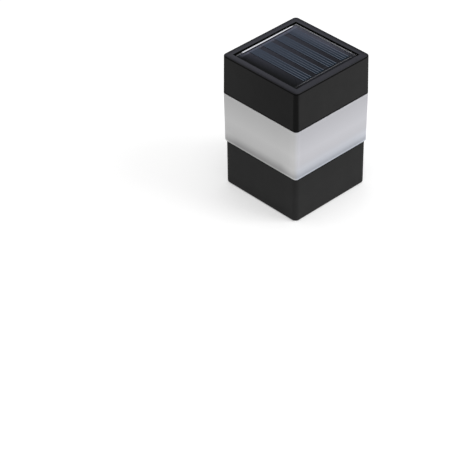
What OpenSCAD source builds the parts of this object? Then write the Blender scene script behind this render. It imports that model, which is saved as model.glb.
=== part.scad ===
// Solar fence light: a square lamp that caps a square metal fence post.
// A black collar slips over the post, a frosted diffuser stands on the collar,
// and a lift-off head holds the solar panel, battery, switch and lamps.
// Millimetres, +Z up, origin at the centre of the collar's lower rim.
// The fence runs along X, and -Y is the side that faces across the fence.

/* [Body] */
// Width of the square post that the light fits
post_w = 50.8; // [44:0.1:60]
// How far the light stands out past the post, each side
side_step = 7.1; // [6:0.1:12]
// Height of the frosted band that shows
diffuser_h = 35.9; // [24:0.1:60]
// Height of the collar that goes over the post
collar_h = 32.2; // [20:0.1:60]
// Radius of the upright corners of the head and diffuser
corner_r = 2.8; // [1.5:0.1:6]

/* [Head housing] */
// Wall of the housing at its lower edge
housing_wall = 2.2; // [1.6:0.1:3]
// How far each side leans in from the lower edge to the top
housing_draft = 0.35; // [0:0.05:0.8]
// Rounding of the housing's top edge
top_edge_r = 0.7; // [0.5:0.1:2.5]
// Free height above the battery contacts, for the leads
wire_room = 5.3; // [2:0.05:12]
// Width of the rim round the solar panel
rim_w = 4.9; // [3.5:0.1:7]
// Depth of the panel's face below the rim
panel_recess = 0.4; // [0.2:0.1:3]
// Thickness of the web that carries the panel
web_t = 2; // [1.2:0.1:4]
// Diameter of the screw bosses inside the housing
boss_d = 6.4; // [5.5:0.1:8]

/* [Solar panel] */
// Gap between the panel and the sides of its pocket
panel_gap = 1; // [0.3:0.1:2]
// Thickness of the panel's backing board
backing_t = 1.2; // [0.8:0.1:2]
// Thickness of the clear resin over the cells
resin_t = 1.1; // [0.8:0.1:2]
// Thickness of the foam tape under the panel
tape_t = 0.5; // [0.3:0.1:1.5]
// Width of the foam tape
tape_w = 3; // [2:0.1:5]
// Number of cell strips
cell_count = 4; // [2:1:6]
// Thickness of one cell strip
cell_t = 0.3; // [0.2:0.05:0.5]
// Bare board between one strip and the next
strip_gap = 3.8; // [1:0.1:5]
// Bare board on the -X side of the strips
margin_left = 9.6; // [1:0.05:12]
// Bare board on the +X side of the strips
margin_right = 3.2; // [1:0.05:12]
// Bare board at the strips' -Y ends
margin_front = 3.3; // [1:0.05:8]
// Bare board at the strips' +Y ends
margin_back = 1.9; // [1:0.05:8]
// Width of the solder ribbon that joins the strips
ribbon_w = 1.4; // [0.8:0.1:2]

/* [Diffuser] */
// Wall of the frosted band at its top
diffuser_wall = 2.2; // [1.8:0.1:3]
// How far each side leans in from the top to the foot
diffuser_draft = 0.3; // [0:0.05:0.8]
// Rounding of the diffuser's lower edge
diffuser_edge_r = 1.2; // [0.5:0.1:1.6]
// Thickness of the diffuser's floor
floor_t = 2; // [1.5:0.1:3]
// Height of the rubber seal under the head
seal_t = 1; // [0.6:0.1:2]
// Width of the rubber seal
seal_w = 1; // [0.6:0.1:1.2]

/* [Collar] */
// How far the collar stands in from the light's full width, each side
collar_inset = 1; // [0.2:0.1:2]
// Radius of the collar's upright corners
collar_corner_r = 3.1; // [2:0.1:7]
// Rounding of the collar's lower edge
collar_edge_r = 1.3; // [0.3:0.1:1.3]
// Wall of the collar
collar_wall = 2; // [1.4:0.1:2.5]
// Height of the spigot that stands up inside the diffuser's skirt
spigot_h = 6; // [4:0.1:8]
// Thickness of the deck that closes the spigot
deck_t = 2.4; // [1.6:0.1:4]
// Gap on each side of the post
post_gap = 0.6; // [0.2:0.1:1]
// Depth of the stop ring under the deck
stop_h = 5.8; // [3:0.1:8]
// Wall of the stop ring that sits on the post's end
stop_wall = 2.5; // [1.6:0.1:3]
// Number of centring ribs on each side
rib_count = 3; // [2:1:4]
// Distance from one centring rib to the next
rib_pitch = 13; // [8:0.5:14]
// Thickness of a centring rib
rib_t = 1.6; // [1:0.1:2.5]

/* [Lamp chassis] */
// Thickness of the chassis plate
plate_t = 2.4; // [2:0.1:3]
// Depth of the plug that enters the diffuser
plug_h = 4; // [2.5:0.1:8]
// Wall of the plug
plug_wall = 1.8; // [1.2:0.1:2.5]
// Thickness of the battery cover
cover_t = 1.6; // [1.2:0.1:2]
// Radius of the battery cover's hinge pins
hinge_pin_r = 0.7; // [0.5:0.05:0.8]
// Length of each hinge pin
hinge_pin_l = 1.8; // [1:0.1:3]

/* [Battery] */
// Diameter of the rechargeable cell
battery_d = 10.5; // [9:0.1:11.5]
// Length of the cell with its positive nub
battery_l = 44.5; // [30:0.1:45]
// Length of the coil spring at the negative end
spring_l = 3.4; // [3.1:0.1:5]
// Wire of the coil spring
spring_wire = 0.45; // [0.4:0.05:0.5]
// Number of turns of the coil spring
spring_turns = 3; // [2:1:3]

/* [Electronics] */
// Length of the circuit board
board_l = 46; // [40:0.5:50]
// Space between the circuit board and the battery bay, for the leads
board_gap = 7.6; // [3:0.1:9]
// Thickness of the circuit board
board_t = 1.6; // [1:0.1:2]
// Diameter of a lamp
led_d = 5; // [3:0.1:5]
// Distance between the two lamps
led_pitch = 18; // [12:0.5:20]
// Height of the slide switch's case
switch_h = 3.6; // [3:0.1:5]
// Travel of the slide switch
switch_travel = 2; // [1.5:0.1:3]
// Diameter of the insulated leads
lead_d = 1.2; // [0.8:0.1:1.4]

/* [Fasteners] */
// Shank diameter of the self-tapping screws
screw_d = 2.6; // [2:0.1:3]
// Length of the screws under the head
screw_l = 8; // [6:0.1:10]
// Shank diameter of the circuit board screws
board_screw_d = 2; // [1.6:0.1:2.2]

/* [Hidden] */

// Fineness: hull children, round exact solids, small leads
hull_fn = 32;
round_fn = 48;
lead_sides = 8;

// Small working sizes
over = 0.5;       // overrun of every cut
slab = 0.02;      // thickness of the slices that a drafted block is hulled from
seam = 0.1;       // parting line between the head and the diffuser
fit = 0.3;        // loose fit of a moulding inside another
run = 0.05;       // radial gap of a pin that turns in its socket
close = 0.05;     // gap of a screw in its hole
part_gap = 1;     // free space between neighbouring features
min_r = 0.6;      // smallest inside corner radius
seal_gap = 0.2;   // the seal stands this far below the diffuser's top edge
resin_cover = 0.2; // resin above the strips, up to where its edge starts to round

// Heights of the collar, the diffuser and the head's lower edge
spigot_top = collar_h + spigot_h;
deck_z = spigot_top - deck_t;
stop_z = deck_z - stop_h;
floor_top = spigot_top + floor_t;
diffuser_top = collar_h + diffuser_h;
housing_z = diffuser_top + seam;
plate_z = housing_z;
plate_top = plate_z + plate_t;

// Widths
body_w = post_w + 2 * side_step;
housing_top_w = body_w - 2 * housing_draft;
cavity_w = body_w - 2 * housing_wall;
pocket_w = housing_top_w - 2 * rim_w;
panel_w = pocket_w - 2 * panel_gap;
diffuser_foot_w = body_w - 2 * diffuser_draft;
chamber_w = body_w - 2 * diffuser_wall;
plug_w = min(cavity_w, chamber_w) - 2 * fit;
spigot_w = chamber_w - 2 * fit;
collar_w = body_w - 2 * collar_inset;
socket_w = post_w + 2 * post_gap;
stop_lap = 0.4;   // how far the stop ring runs into the ribs
stop_in_w = socket_w - 2 * stop_wall;

// Cell strips: they fill the panel between its margins
cell_w = (panel_w - margin_left - margin_right - (cell_count - 1) * strip_gap) / cell_count;
cell_l = panel_w - margin_front - margin_back;
cell_pitch = cell_w + strip_gap;
cell_x = (margin_left - margin_right) / 2;
cell_y = (margin_front - margin_back) / 2;

// Screws: a pan head, and holes to match
head_d_share = 2;
head_h_share = 0.7;
screw_head_d = screw_d * head_d_share;
recess_share = 0.45;
hole_d = screw_d + 2 * close;
boss_skin = 1.9;  // plastic round a screw
boss_pos = cavity_w / 2 - plug_wall - fit - screw_head_d / 2 - part_gap;
floor_boss_d = screw_d + 2 * boss_skin;
floor_boss_pos = stop_in_w / 2 - screw_head_d / 2 - fit;
floor_boss_top = deck_z + screw_l + part_gap + boss_skin / 2;

// Battery bay, with the cell along X
bay_gap = 0.45;
bay_wall = 1.4;
contact_t = 0.4;
contact_lap = 0.05;
bay_w = battery_d + 2 * bay_gap;
bay_l = battery_l + spring_l + 2 * contact_t + 2 * contact_lap;
bay_y = boss_pos - boss_d / 2 - part_gap - bay_wall - bay_w / 2;
hinge_z = plate_z + plate_t / 2;
cover_gap = 0.25;
cover_top = hinge_z + cover_t / 2;
battery_z = cover_top + fit + battery_d / 2;
bay_ceiling = battery_z + battery_d / 2 + bay_gap;
hinge_y = bay_y - bay_w / 2 + cover_gap + cover_t / 2;
cover_l = bay_l - 2 * cover_gap;
socket_l = hinge_pin_l + cover_gap + fit;
nub_d_share = 0.36;
battery_edge_share = 0.05;
nub_h = 1;
battery_x = bay_l / 2 - contact_t - contact_lap;
tail_w = 3;       // width of a contact's solder tail
tail_h = 2.2;     // its height above the bay

// Heights of the web and the panel's layers, stacked on the room for the leads
web_z = bay_ceiling + bay_wall + tail_h + wire_room;
tape_z = web_z + web_t;
backing_z = tape_z + tape_t;
resin_z = backing_z + backing_t;
top_z = resin_z + resin_t + panel_recess;

// Circuit board on four studs, in what the bay leaves free between the bosses
board_edge = boss_pos - boss_d / 2 - part_gap;
board_w = 2 * board_edge - bay_w - 2 * bay_wall - board_gap;
board_y = board_w / 2 - board_edge;
board_z = plate_top + switch_h;
board_top = board_z + board_t;
stud_d = 4.4;     // stud that a board screw goes into
stud_x = board_l / 2 - stud_d / 2;
stud_y = board_w / 2 - stud_d / 2;
board_screw_l = 5;
led_leg_w = 0.5;
led_leg_gap = 2.54;
led_flange_t = 1;
led_flange_w = 0.7;
led_body_h = 5.1;
leg_out = 1.2;    // how far a leg stands out above the board
switch_w = 3.6;
switch_l = 8.6;
switch_x = led_pitch / 2 + led_d / 2 + led_flange_w + 1.6 * part_gap + switch_w / 2;
knob_w = 1.6;
knob_l = 2;
knob_out = 2;     // how far the knob stands out below the plate
knob_lip = 0.6;   // lip that keeps the knob in its case
knob_lip_t = 0.8;
knob_gap = 0.2;
lip_floor = 0.8;  // thickness of the case's mouth

// Driver chip and inductor
chip_l = 4.9;
chip_w = 3.9;
chip_h = 1.4;
chip_stand_share = 0.1;
chip_leg_w = 0.45;
chip_leg_pitch = 1.27;
chip_leg_out = 1.05;
chip_x = -led_pitch / 2 - led_leg_gap / 2 - led_leg_w - part_gap - chip_l / 2;
coil_d = 5.8;
coil_h = 4.6;
coil_flange = 0.8;
coil_waist_share = 0.82;

// Leads: their slot in the web, their places and their straight ends
wire_slot_l = 14;
wire_slot_w = 6;
wire_slot_y = board_y + board_w / 2 - 2.6 * part_gap;
lead_pitch = 5;
lead_land_x = 4.5;
lead_land_y = board_y + board_w / 2 - lead_d - part_gap;
stub = 1.6;
bend_steps = 5;
panel_lead_lean = [0, 1, 0];      // which way the rings of a lead face; no lead runs along it
battery_lead_lean = [0, 1, 0.3];

// Gussets of the head's bosses, and the nail groove of the battery cover
gusset_t = 1.6;
groove_d = 1.2;
groove_l_share = 0.25;

// Centre position of a row of n pieces
function row(i, n, pitch) = (i - (n - 1) / 2) * pitch;
quarters = [[1, 1], [-1, 1], [-1, -1], [1, -1]];

// Rounded square outline, centred
module round_square(w, r) {
    square([w, w - 2 * r], center = true);
    square([w - 2 * r, w], center = true);
    for (q = quarters) translate(q * (w / 2 - r)) circle(r = r);
}

// Upright prism with rounded corners, from z0 to z1
module prism(w, r, z0, z1) {
    translate([0, 0, z0]) linear_extrude(height = z1 - z0) round_square(w, r, $fn = round_fn);
}

// One thin slice of a drafted block; the inset draws the corners in with the sides
module slice(w, r, inset, z) {
    translate([0, 0, z]) linear_extrude(height = slab)
        round_square(w - 2 * inset, max(r - inset, min_r), $fn = hull_fn);
}

// Block whose sides lean from foot_w to head_w; an edge radius of 0 leaves that end sharp
edge_steps = 4;
module drafted_block(foot_w, head_w, r, z0, z1, foot_r, head_r) {
    lean = (head_w - foot_w) / (z1 - z0);
    hull() {
        for (i = [0 : foot_r > 0 ? edge_steps : 0]) {
            a = 90 * i / edge_steps;
            low = foot_r * (1 - sin(a));
            slice(foot_w + lean * low, r, foot_r * (1 - cos(a)), z0 + low);
        }
        for (i = [0 : head_r > 0 ? edge_steps : 0]) {
            a = 90 * i / edge_steps;
            high = head_r * (1 - sin(a));
            slice(head_w - lean * high, r, head_r * (1 - cos(a)), z1 - high - slab);
        }
    }
}

// Pan-head screw at the origin, shank up, head below, with a cross recess
module screw(d, l) {
    head_d = d * head_d_share;
    head_h = d * head_h_share;
    slot_w = d * recess_share / 2;
    difference() {
        union() {
            cylinder(d = d, h = l, $fn = round_fn);
            translate([0, 0, -head_h]) cylinder(d = head_d, h = head_h, $fn = round_fn);
        }
        for (turn = [0, 90]) rotate(turn)
            translate([-d / 2, -slot_w / 2, -head_h - over]) cube([d, slot_w, over + head_h / 2]);
    }
}

// Collar: an outer wall, a spigot closed by a deck, a stop ring and centring ribs
module base_collar() {
    wall_in = collar_w - 2 * collar_wall;
    spigot_in = min(spigot_w - 2 * collar_wall, wall_in);
    wall_r = max(collar_corner_r - collar_wall, min_r);
    spigot_r = max(corner_r - diffuser_wall - fit, min_r);
    color([0.17, 0.17, 0.17]) difference() {
        union() {
            difference() {
                union() {
                    drafted_block(collar_w, collar_w, collar_corner_r, 0, collar_h, collar_edge_r, 0);
                    prism(spigot_w, spigot_r, collar_h - collar_wall / 2, spigot_top);
                }
                prism(wall_in, wall_r, -over, collar_h - collar_wall);
                prism(spigot_in, min_r, 0, deck_z);
            }
            difference() {
                prism(socket_w + 2 * stop_lap, min_r, stop_z, deck_z + deck_t / 2);
                prism(stop_in_w, min_r, stop_z - over, deck_z);
            }
            for (side = [0 : 3], i = [0 : rib_count - 1]) rotate(90 * side)
                centring_rib(row(i, rib_count, rib_pitch), (wall_in + collar_wall) / 2, spigot_in / 2);
        }
        for (q = quarters) translate([q[0] * floor_boss_pos, q[1] * floor_boss_pos, stop_z])
            cylinder(d = hole_d, h = spigot_top - stop_z + over, $fn = round_fn);
    }
}

// One rib on the -Y side: it runs from the wall to the post's gap, with a sloped foot
module centring_rib(x, low_y, high_y) {
    inner_y = socket_w / 2;
    lead_in = post_gap + collar_wall / 2;
    shoulder_z = collar_h - collar_wall / 2;
    rib_top = deck_z + deck_t / 2;
    translate([x - rib_t / 2, 0, 0]) rotate([90, 0, 90]) linear_extrude(height = rib_t)
        polygon([
            [-low_y, lead_in], [-inner_y - lead_in, lead_in], [-inner_y, 3 * lead_in],
            [-inner_y, rib_top], [-high_y - collar_wall / 2, rib_top],
            [-high_y - collar_wall / 2, shoulder_z], [-low_y, shoulder_z]
        ]);
}

// Diffuser: a frosted cup with a skirt round the spigot, screw bosses and a rebate for the seal
module diffuser() {
    rebate_w = chamber_w + 2 * seal_w;
    inner_r = max(corner_r - diffuser_wall, min_r);
    color([0.84, 0.84, 0.86]) difference() {
        union() {
            difference() {
                drafted_block(diffuser_foot_w, body_w, corner_r, collar_h, diffuser_top, diffuser_edge_r, 0);
                prism(chamber_w, inner_r, floor_top, diffuser_top + over);
                prism(rebate_w, inner_r, diffuser_top - seal_t - seal_gap, diffuser_top + over);
                prism(chamber_w, inner_r, collar_h - over, spigot_top);
            }
            for (q = quarters)
                translate([q[0] * floor_boss_pos, q[1] * floor_boss_pos, spigot_top + floor_t / 2])
                    cylinder(d = floor_boss_d, h = floor_boss_top - spigot_top - floor_t / 2, $fn = round_fn);
        }
        for (q = quarters) translate([q[0] * floor_boss_pos, q[1] * floor_boss_pos, spigot_top - over])
            cylinder(d = hole_d, h = over + screw_l - deck_t + part_gap, $fn = round_fn);
    }
}

module collar_screws() {
    color([0.62, 0.62, 0.64]) for (q = quarters)
        translate([q[0] * floor_boss_pos, q[1] * floor_boss_pos, deck_z]) screw(screw_d, screw_l);
}

// Rubber seal in the diffuser's rebate, round the head's plug
module head_seal() {
    inner_r = max(corner_r - diffuser_wall, min_r);
    seal_z = diffuser_top - seal_t - seal_gap;
    color([0.25, 0.25, 0.26]) difference() {
        prism(chamber_w + 2 * seal_w, inner_r, seal_z, seal_z + seal_t);
        prism(chamber_w, inner_r, seal_z - over, seal_z + seal_t + over);
    }
}

// Head housing: a drafted shell with the panel's pocket above and four bosses below
module top_housing() {
    cavity_r = max(corner_r - housing_wall, min_r);
    color([0.15, 0.15, 0.15]) difference() {
        union() {
            difference() {
                drafted_block(body_w, housing_top_w, corner_r, housing_z, top_z, 0, top_edge_r);
                prism(cavity_w, cavity_r, housing_z - over, web_z);
            }
            for (q = quarters) {
                translate([q[0] * boss_pos, q[1] * boss_pos, plate_top])
                    cylinder(d = boss_d, h = web_z - plate_top + web_t / 2, $fn = round_fn);
                boss_gussets(q);
            }
        }
        prism(pocket_w, min_r, tape_z, top_z + over);
        translate([0, wire_slot_y, web_z]) cube([wire_slot_l, wire_slot_w, 2 * web_t + over], center = true);
        for (q = quarters) translate([q[0] * boss_pos, q[1] * boss_pos, plate_top - over])
            cylinder(d = hole_d, h = over + screw_l - plate_t + part_gap, $fn = round_fn);
    }
}

// Two thin webs that tie a boss to the walls beside it
module boss_gussets(q) {
    reach = cavity_w / 2 - boss_pos + housing_wall / 2;
    height = web_z - plate_top - part_gap + web_t / 2;
    start = boss_d / 2 - min_r;
    scale_x = q[0];
    scale_y = q[1];
    for (turn = [0, 1]) {
        size_x = turn == 0 ? reach - start : gusset_t;
        size_y = turn == 0 ? gusset_t : reach - start;
        mid = (reach + start) / 2;
        translate([
            scale_x * (boss_pos + (turn == 0 ? mid : 0)),
            scale_y * (boss_pos + (turn == 0 ? 0 : mid)),
            plate_top + part_gap + height / 2
        ]) cube([size_x, size_y, height], center = true);
    }
}

module chassis_screws() {
    color([0.62, 0.62, 0.64]) for (q = quarters)
        translate([q[0] * boss_pos, q[1] * boss_pos, plate_z]) screw(screw_d, screw_l);
}

// Foam tape between the web and the panel
module panel_tape() {
    color([0.1, 0.1, 0.1]) difference() {
        prism(panel_w, min_r, tape_z, backing_z);
        prism(panel_w - 2 * tape_w, min_r, tape_z - over, backing_z + over);
    }
}

module panel_backing() {
    color([0.09, 0.09, 0.1]) prism(panel_w, min_r, backing_z, resin_z);
}

// The cell strips, which run along Y and lie in a row along X
module strips() {
    for (i = [0 : cell_count - 1])
        translate([cell_x + row(i, cell_count, cell_pitch) - cell_w / 2, cell_y - cell_l / 2])
            square([cell_w, cell_l]);
}

// Short ribbons that bridge the gaps between the strips, at alternate ends
module ribbons() {
    for (i = [0 : cell_count - 2]) {
        end = i % 2 == 0 ? 1 : -1;
        x = cell_x + row(i, cell_count, cell_pitch) + cell_w / 2;
        y = cell_y + end * (cell_l / 2 - ribbon_w);
        translate([x, y - ribbon_w / 2]) square([strip_gap, ribbon_w]);
    }
}

module solar_cells() {
    color([0.21, 0.26, 0.33]) translate([0, 0, resin_z]) linear_extrude(height = cell_t) strips();
}

module cell_ribbons() {
    color([0.7, 0.7, 0.72]) translate([0, 0, resin_z]) linear_extrude(height = cell_t) ribbons();
}

// Clear resin over the backing, cast round the strips and ribbons, with a rounded upper edge
module panel_resin() {
    base_top = resin_z + cell_t + resin_cover;
    edge_r = resin_z + resin_t - base_top;
    color([0.2, 0.2, 0.22, 0.4]) union() {
        difference() {
            prism(panel_w, min_r, resin_z, base_top);
            translate([0, 0, resin_z - over]) linear_extrude(height = cell_t + over) {
                strips();
                ribbons();
            }
        }
        drafted_block(panel_w, panel_w, min_r, base_top, resin_z + resin_t, 0, edge_r);
    }
}

// Chassis: a plate with a plug below, the battery bay and the board's posts above
module lamp_chassis() {
    plug_r = max(corner_r - housing_wall - fit, min_r);
    color([0.88, 0.88, 0.87]) difference() {
        union() {
            difference() {
                prism(plug_w, plug_r, plate_z - seam - plug_h, plate_top);
                prism(plug_w - 2 * plug_wall, plug_r, plate_z - seam - plug_h - over, plate_z);
            }
            translate([-bay_l / 2 - bay_wall, bay_y - bay_w / 2 - bay_wall, plate_top - plate_t / 2])
                cube([
                    bay_l + 2 * bay_wall, bay_w + 2 * bay_wall,
                    bay_ceiling + bay_wall - plate_top + plate_t / 2
                ]);
            for (q = quarters)
                translate([q[0] * stud_x, board_y + q[1] * stud_y, plate_top - plate_t / 2])
                    cylinder(d = stud_d, h = board_z - plate_top + plate_t / 2, $fn = round_fn);
        }
        translate([-bay_l / 2, bay_y - bay_w / 2, plate_z - over])
            cube([bay_l, bay_w, bay_ceiling - plate_z + over]);
        hinge_sockets();
        contact_slots();
        for (q = quarters) {
            translate([q[0] * boss_pos, q[1] * boss_pos, plate_z - over])
                cylinder(d = hole_d, h = plate_t + 2 * over, $fn = round_fn);
            translate([q[0] * stud_x, board_y + q[1] * stud_y, board_top - board_screw_l - fit])
                cylinder(d = board_screw_d + 2 * close, h = board_screw_l + over, $fn = round_fn);
        }
        for (s = [-1, 1]) translate([s * led_pitch / 2, board_y, plate_z - over])
            cylinder(d = led_d + 2 * fit, h = plate_t + 2 * over, $fn = round_fn);
        translate([switch_x, board_y, plate_z])
            cube([
                knob_w + 2 * fit, knob_l + switch_travel + 2 * fit, 2 * plate_t + 2 * over
            ], center = true);
    }
}

// Round sockets at the ends of the bay's mouth for the cover's pins
module hinge_sockets() {
    translate([-bay_l / 2 - socket_l + cover_gap, hinge_y, hinge_z]) rotate([0, 90, 0])
        cylinder(r = hinge_pin_r + run, h = bay_l + 2 * socket_l - 2 * cover_gap, $fn = round_fn);
}

// Slots in the bay's ceiling that the contacts' solder tails pass through
module contact_slots() {
    for (s = [-1, 1])
        translate([
            s * (bay_l / 2 - contact_t / 2), bay_y, bay_ceiling + bay_wall / 2
        ]) cube([contact_t + 2 * contact_lap, tail_w + 2 * fit, bay_wall + 2 * over], center = true);
}

// Circuit board, drilled for its screws and the lamps' legs
module circuit_board() {
    leg_hole_d = led_leg_w * sqrt(2) + 2 * close;
    color([0.12, 0.36, 0.2]) difference() {
        translate([-board_l / 2, board_y - board_w / 2, board_z]) cube([board_l, board_w, board_t]);
        for (q = quarters)
            translate([q[0] * stud_x, board_y + q[1] * stud_y, board_z - over])
                cylinder(d = board_screw_d + 2 * close, h = board_t + 2 * over, $fn = round_fn);
        for (s = [-1, 1], t = [-1, 1])
            translate([s * led_pitch / 2 + t * led_leg_gap / 2, board_y, board_z - over])
                cylinder(d = leg_hole_d, h = board_t + 2 * over, $fn = round_fn);
    }
}

module board_screws() {
    color([0.62, 0.62, 0.64]) for (q = quarters)
        translate([q[0] * stud_x, board_y + q[1] * stud_y, board_top])
            rotate([180, 0, 0]) screw(board_screw_d, board_screw_l);
}

// Domed lamps that hang through the plate, seen from the chamber
module led_lamps() {
    r = led_d / 2;
    color([0.93, 0.93, 0.88]) for (s = [-1, 1])
        translate([s * led_pitch / 2, board_y, plate_top]) rotate_extrude($fn = round_fn)
            difference() {
                union() {
                    square([r + led_flange_w, led_flange_t]);
                    translate([0, -led_body_h]) square([r, led_body_h + over]);
                    translate([0, -led_body_h]) circle(r = r);
                }
                translate([-2 * led_d, -2 * led_body_h]) square([2 * led_d, 4 * led_body_h]);
            }
}

module led_legs() {
    color([0.75, 0.75, 0.77]) for (s = [-1, 1], t = [-1, 1])
        translate([
            s * led_pitch / 2 + t * led_leg_gap / 2 - led_leg_w / 2, board_y - led_leg_w / 2,
            plate_top + led_flange_t
        ]) cube([led_leg_w, led_leg_w, board_top + leg_out - plate_top - led_flange_t]);
}

// Eight-legged driver chip on the board's top face
module driver_chip() {
    stand = chip_h * chip_stand_share;
    color([0.13, 0.13, 0.14]) translate([chip_x, board_y, board_top]) union() {
        translate([-chip_l / 2, -chip_w / 2, stand]) cube([chip_l, chip_w, chip_h]);
        for (s = [-1, 1], i = [0 : 3])
            translate([row(i, 4, chip_leg_pitch) - chip_leg_w / 2, s > 0 ? 0 : -chip_w / 2 - chip_leg_out, 0])
                cube([chip_leg_w, chip_w / 2 + chip_leg_out, 2 * stand]);
    }
}

// Wound drum inductor on the board's top face
module inductor() {
    r = coil_d / 2;
    color([0.5, 0.28, 0.14]) translate([0, board_y, board_top]) rotate_extrude($fn = round_fn)
        polygon([
            [0, 0], [r, 0], [r, coil_flange], [r * coil_waist_share, coil_flange],
            [r * coil_waist_share, coil_h - coil_flange], [r, coil_h - coil_flange], [r, coil_h], [0, coil_h]
        ]);
}

// Slide switch case under the board, hollow where the knob's lip runs
module switch_case() {
    room_l = knob_l + 2 * knob_lip + switch_travel + 2 * knob_gap;
    room_w = knob_w + 2 * knob_gap;
    color([0.66, 0.66, 0.68]) translate([switch_x, board_y, plate_top]) difference() {
        translate([-switch_w / 2, -switch_l / 2, 0]) cube([switch_w, switch_l, switch_h]);
        translate([-room_w / 2, -room_l / 2, lip_floor]) cube([room_w, room_l, knob_lip_t + 2 * knob_gap]);
        translate([-room_w / 2, -room_l / 2 + knob_lip, -over])
            cube([room_w, room_l - 2 * knob_lip, over + lip_floor + knob_gap]);
    }
}

// Knob at its off end; it slides along +Y to the on end
module switch_knob() {
    top = plate_top + lip_floor + knob_gap;
    color([0.92, 0.92, 0.9]) translate([switch_x, board_y - switch_travel / 2, 0]) union() {
        translate([-knob_w / 2, -knob_l / 2, plate_z - knob_out])
            cube([knob_w, knob_l, top + knob_lip_t / 2 - plate_z + knob_out]);
        translate([-knob_w / 2, -knob_l / 2 - knob_lip, top])
            cube([knob_w, knob_l + 2 * knob_lip, knob_lip_t]);
    }
}

// Rechargeable cell along X, with its nub at the +X end
module battery() {
    shoulder = battery_d * battery_edge_share;
    r = battery_d / 2;
    nub_r = battery_d * nub_d_share / 2;
    body = battery_l - nub_h;
    color([0.25, 0.5, 0.34]) translate([battery_x - battery_l, bay_y, battery_z]) rotate([0, 90, 0])
        rotate_extrude($fn = round_fn) polygon([
            [0, 0], [r - shoulder, 0], [r, shoulder], [r, body - shoulder], [r - shoulder, body],
            [nub_r, body], [nub_r, battery_l], [0, battery_l]
        ]);
}

// A contact: a plate at the bay's end with a solder tail through the ceiling
module contact(side) {
    plate_w = bay_w - 2 * fit;
    plate_h = battery_d - 2 * fit;
    color([0.78, 0.76, 0.7]) translate([side * (bay_l / 2 - contact_t / 2), bay_y, 0]) union() {
        translate([-contact_t / 2, -plate_w / 2, battery_z - plate_h / 2])
            cube([contact_t, plate_w, plate_h]);
        translate([-contact_t / 2, -tail_w / 2, battery_z])
            cube([contact_t, tail_w, bay_ceiling + bay_wall + tail_h - battery_z]);
    }
}

module positive_contact() {
    contact(1);
}

module negative_contact() {
    contact(-1);
}

// Sweep of a round section along a list of points
function unit(v) = v / norm(v);
function tangent(p, i) = unit(p[min(i + 1, len(p) - 1)] - p[max(i - 1, 0)]);
function side_of(t, lean) = unit(cross(t, lean));
function ring(c, t, lean, r, sides) = let (u = side_of(t, lean), v = cross(t, u))
    [for (k = [0 : sides - 1]) c + r * cos(360 * k / sides) * u + r * sin(360 * k / sides) * v];

module tube(p, r, sides, lean, ends) {
    last = len(p) - 1;
    points = [
        for (i = [0 : last])
            let (t = i == 0 ? ends[0] : i == last ? ends[1] : tangent(p, i))
            each ring(p[i], t, lean, r, sides)
    ];
    skin = [
        for (i = [0 : last - 1], k = [0 : sides - 1])
            let (a = i * sides + k, b = i * sides + (k + 1) % sides)
            each [[a, b, b + sides], [a, b + sides, a + sides]]
    ];
    start_cap = [for (k = [1 : sides - 2]) [0, k + 1, k]];
    end_cap = [for (k = [1 : sides - 2]) [last * sides, last * sides + k, last * sides + k + 1]];
    polyhedron(points = points, faces = concat(skin, start_cap, end_cap));
}

// Coil spring: it narrows a little from the contact's plate to the cell's flat end
spring_steps = 12;
spring_r_share = 0.36;
spring_taper_share = 0.06;
module contact_spring() {
    r0 = battery_d * spring_r_share;
    start = -bay_l / 2 + contact_t + spring_wire / 2 + contact_lap;
    run_l = spring_l - spring_wire - contact_lap;
    last = spring_turns * spring_steps;
    path = [
        for (i = [0 : last])
            let (a = 360 * i / spring_steps, r = r0 - battery_d * spring_taper_share * i / last)
            [start + run_l * i / last, bay_y + r * cos(a), battery_z + r * sin(a)]
    ];
    echo(spring_gap = run_l / spring_turns - spring_wire);
    color([0.78, 0.76, 0.7]) tube(path, spring_wire / 2, 6, [1, 0, 0], [[0, 0, 1], [0, 0, 1]]);
}

// Smooth lead through hand-chosen stations, straight at both ends
function spline(a, b, c, d, t) =
    0.5 * (2 * b + (c - a) * t + (2 * a - 5 * b + 4 * c - d) * t * t + (3 * b - a - 3 * c + d) * t * t * t);
function smooth(p) = [
    for (i = [0 : len(p) - 2], j = [0 : bend_steps - 1])
        spline(p[max(i - 1, 0)], p[i], p[i + 1], p[min(i + 2, len(p) - 1)], j / bend_steps),
    p[len(p) - 1]
];

module lead(p, lean, ends) {
    tube(smooth(p), lead_d / 2, lead_sides, lean, ends);
}

// A panel lead drops from the backing through the slot and lands on the board
module panel_lead(side) {
    x0 = side * lead_pitch / 2;
    x1 = side * lead_land_x;
    mid_z = (backing_z + board_top) / 2;
    lead([
        [x0, wire_slot_y, backing_z], [x0, wire_slot_y, backing_z - stub - web_t],
        [(x0 + x1) / 2, (wire_slot_y + lead_land_y) / 2, mid_z],
        [x1, lead_land_y, board_top + stub], [x1, lead_land_y, board_top]
    ], panel_lead_lean, [[0, 0, -1], [0, 0, -1]]);
}

module panel_lead_red() {
    color([0.7, 0.1, 0.08]) panel_lead(1);
}

module panel_lead_black() {
    color([0.06, 0.06, 0.06]) panel_lead(-1);
}

// A battery lead leaves the inner face of a contact's tail and comes down on the board
module battery_lead(side) {
    x0 = side * (bay_l / 2 - contact_t);
    z0 = bay_ceiling + bay_wall + tail_h - lead_d / 2;
    x1 = side * (board_l / 2 - stud_d - lead_d);
    lead([
        [x0, bay_y, z0], [x0 - side * stub, bay_y, z0],
        [(x0 + x1) / 2 - side * stub, (bay_y + lead_land_y) / 2, z0],
        [x1, lead_land_y, z0 - 2 * stub], [x1, lead_land_y, board_top + stub], [x1, lead_land_y, board_top]
    ], battery_lead_lean, [[-side, 0, 0], [0, 0, -1]]);
}

module battery_lead_red() {
    color([0.7, 0.1, 0.08]) battery_lead(1);
}

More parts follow.
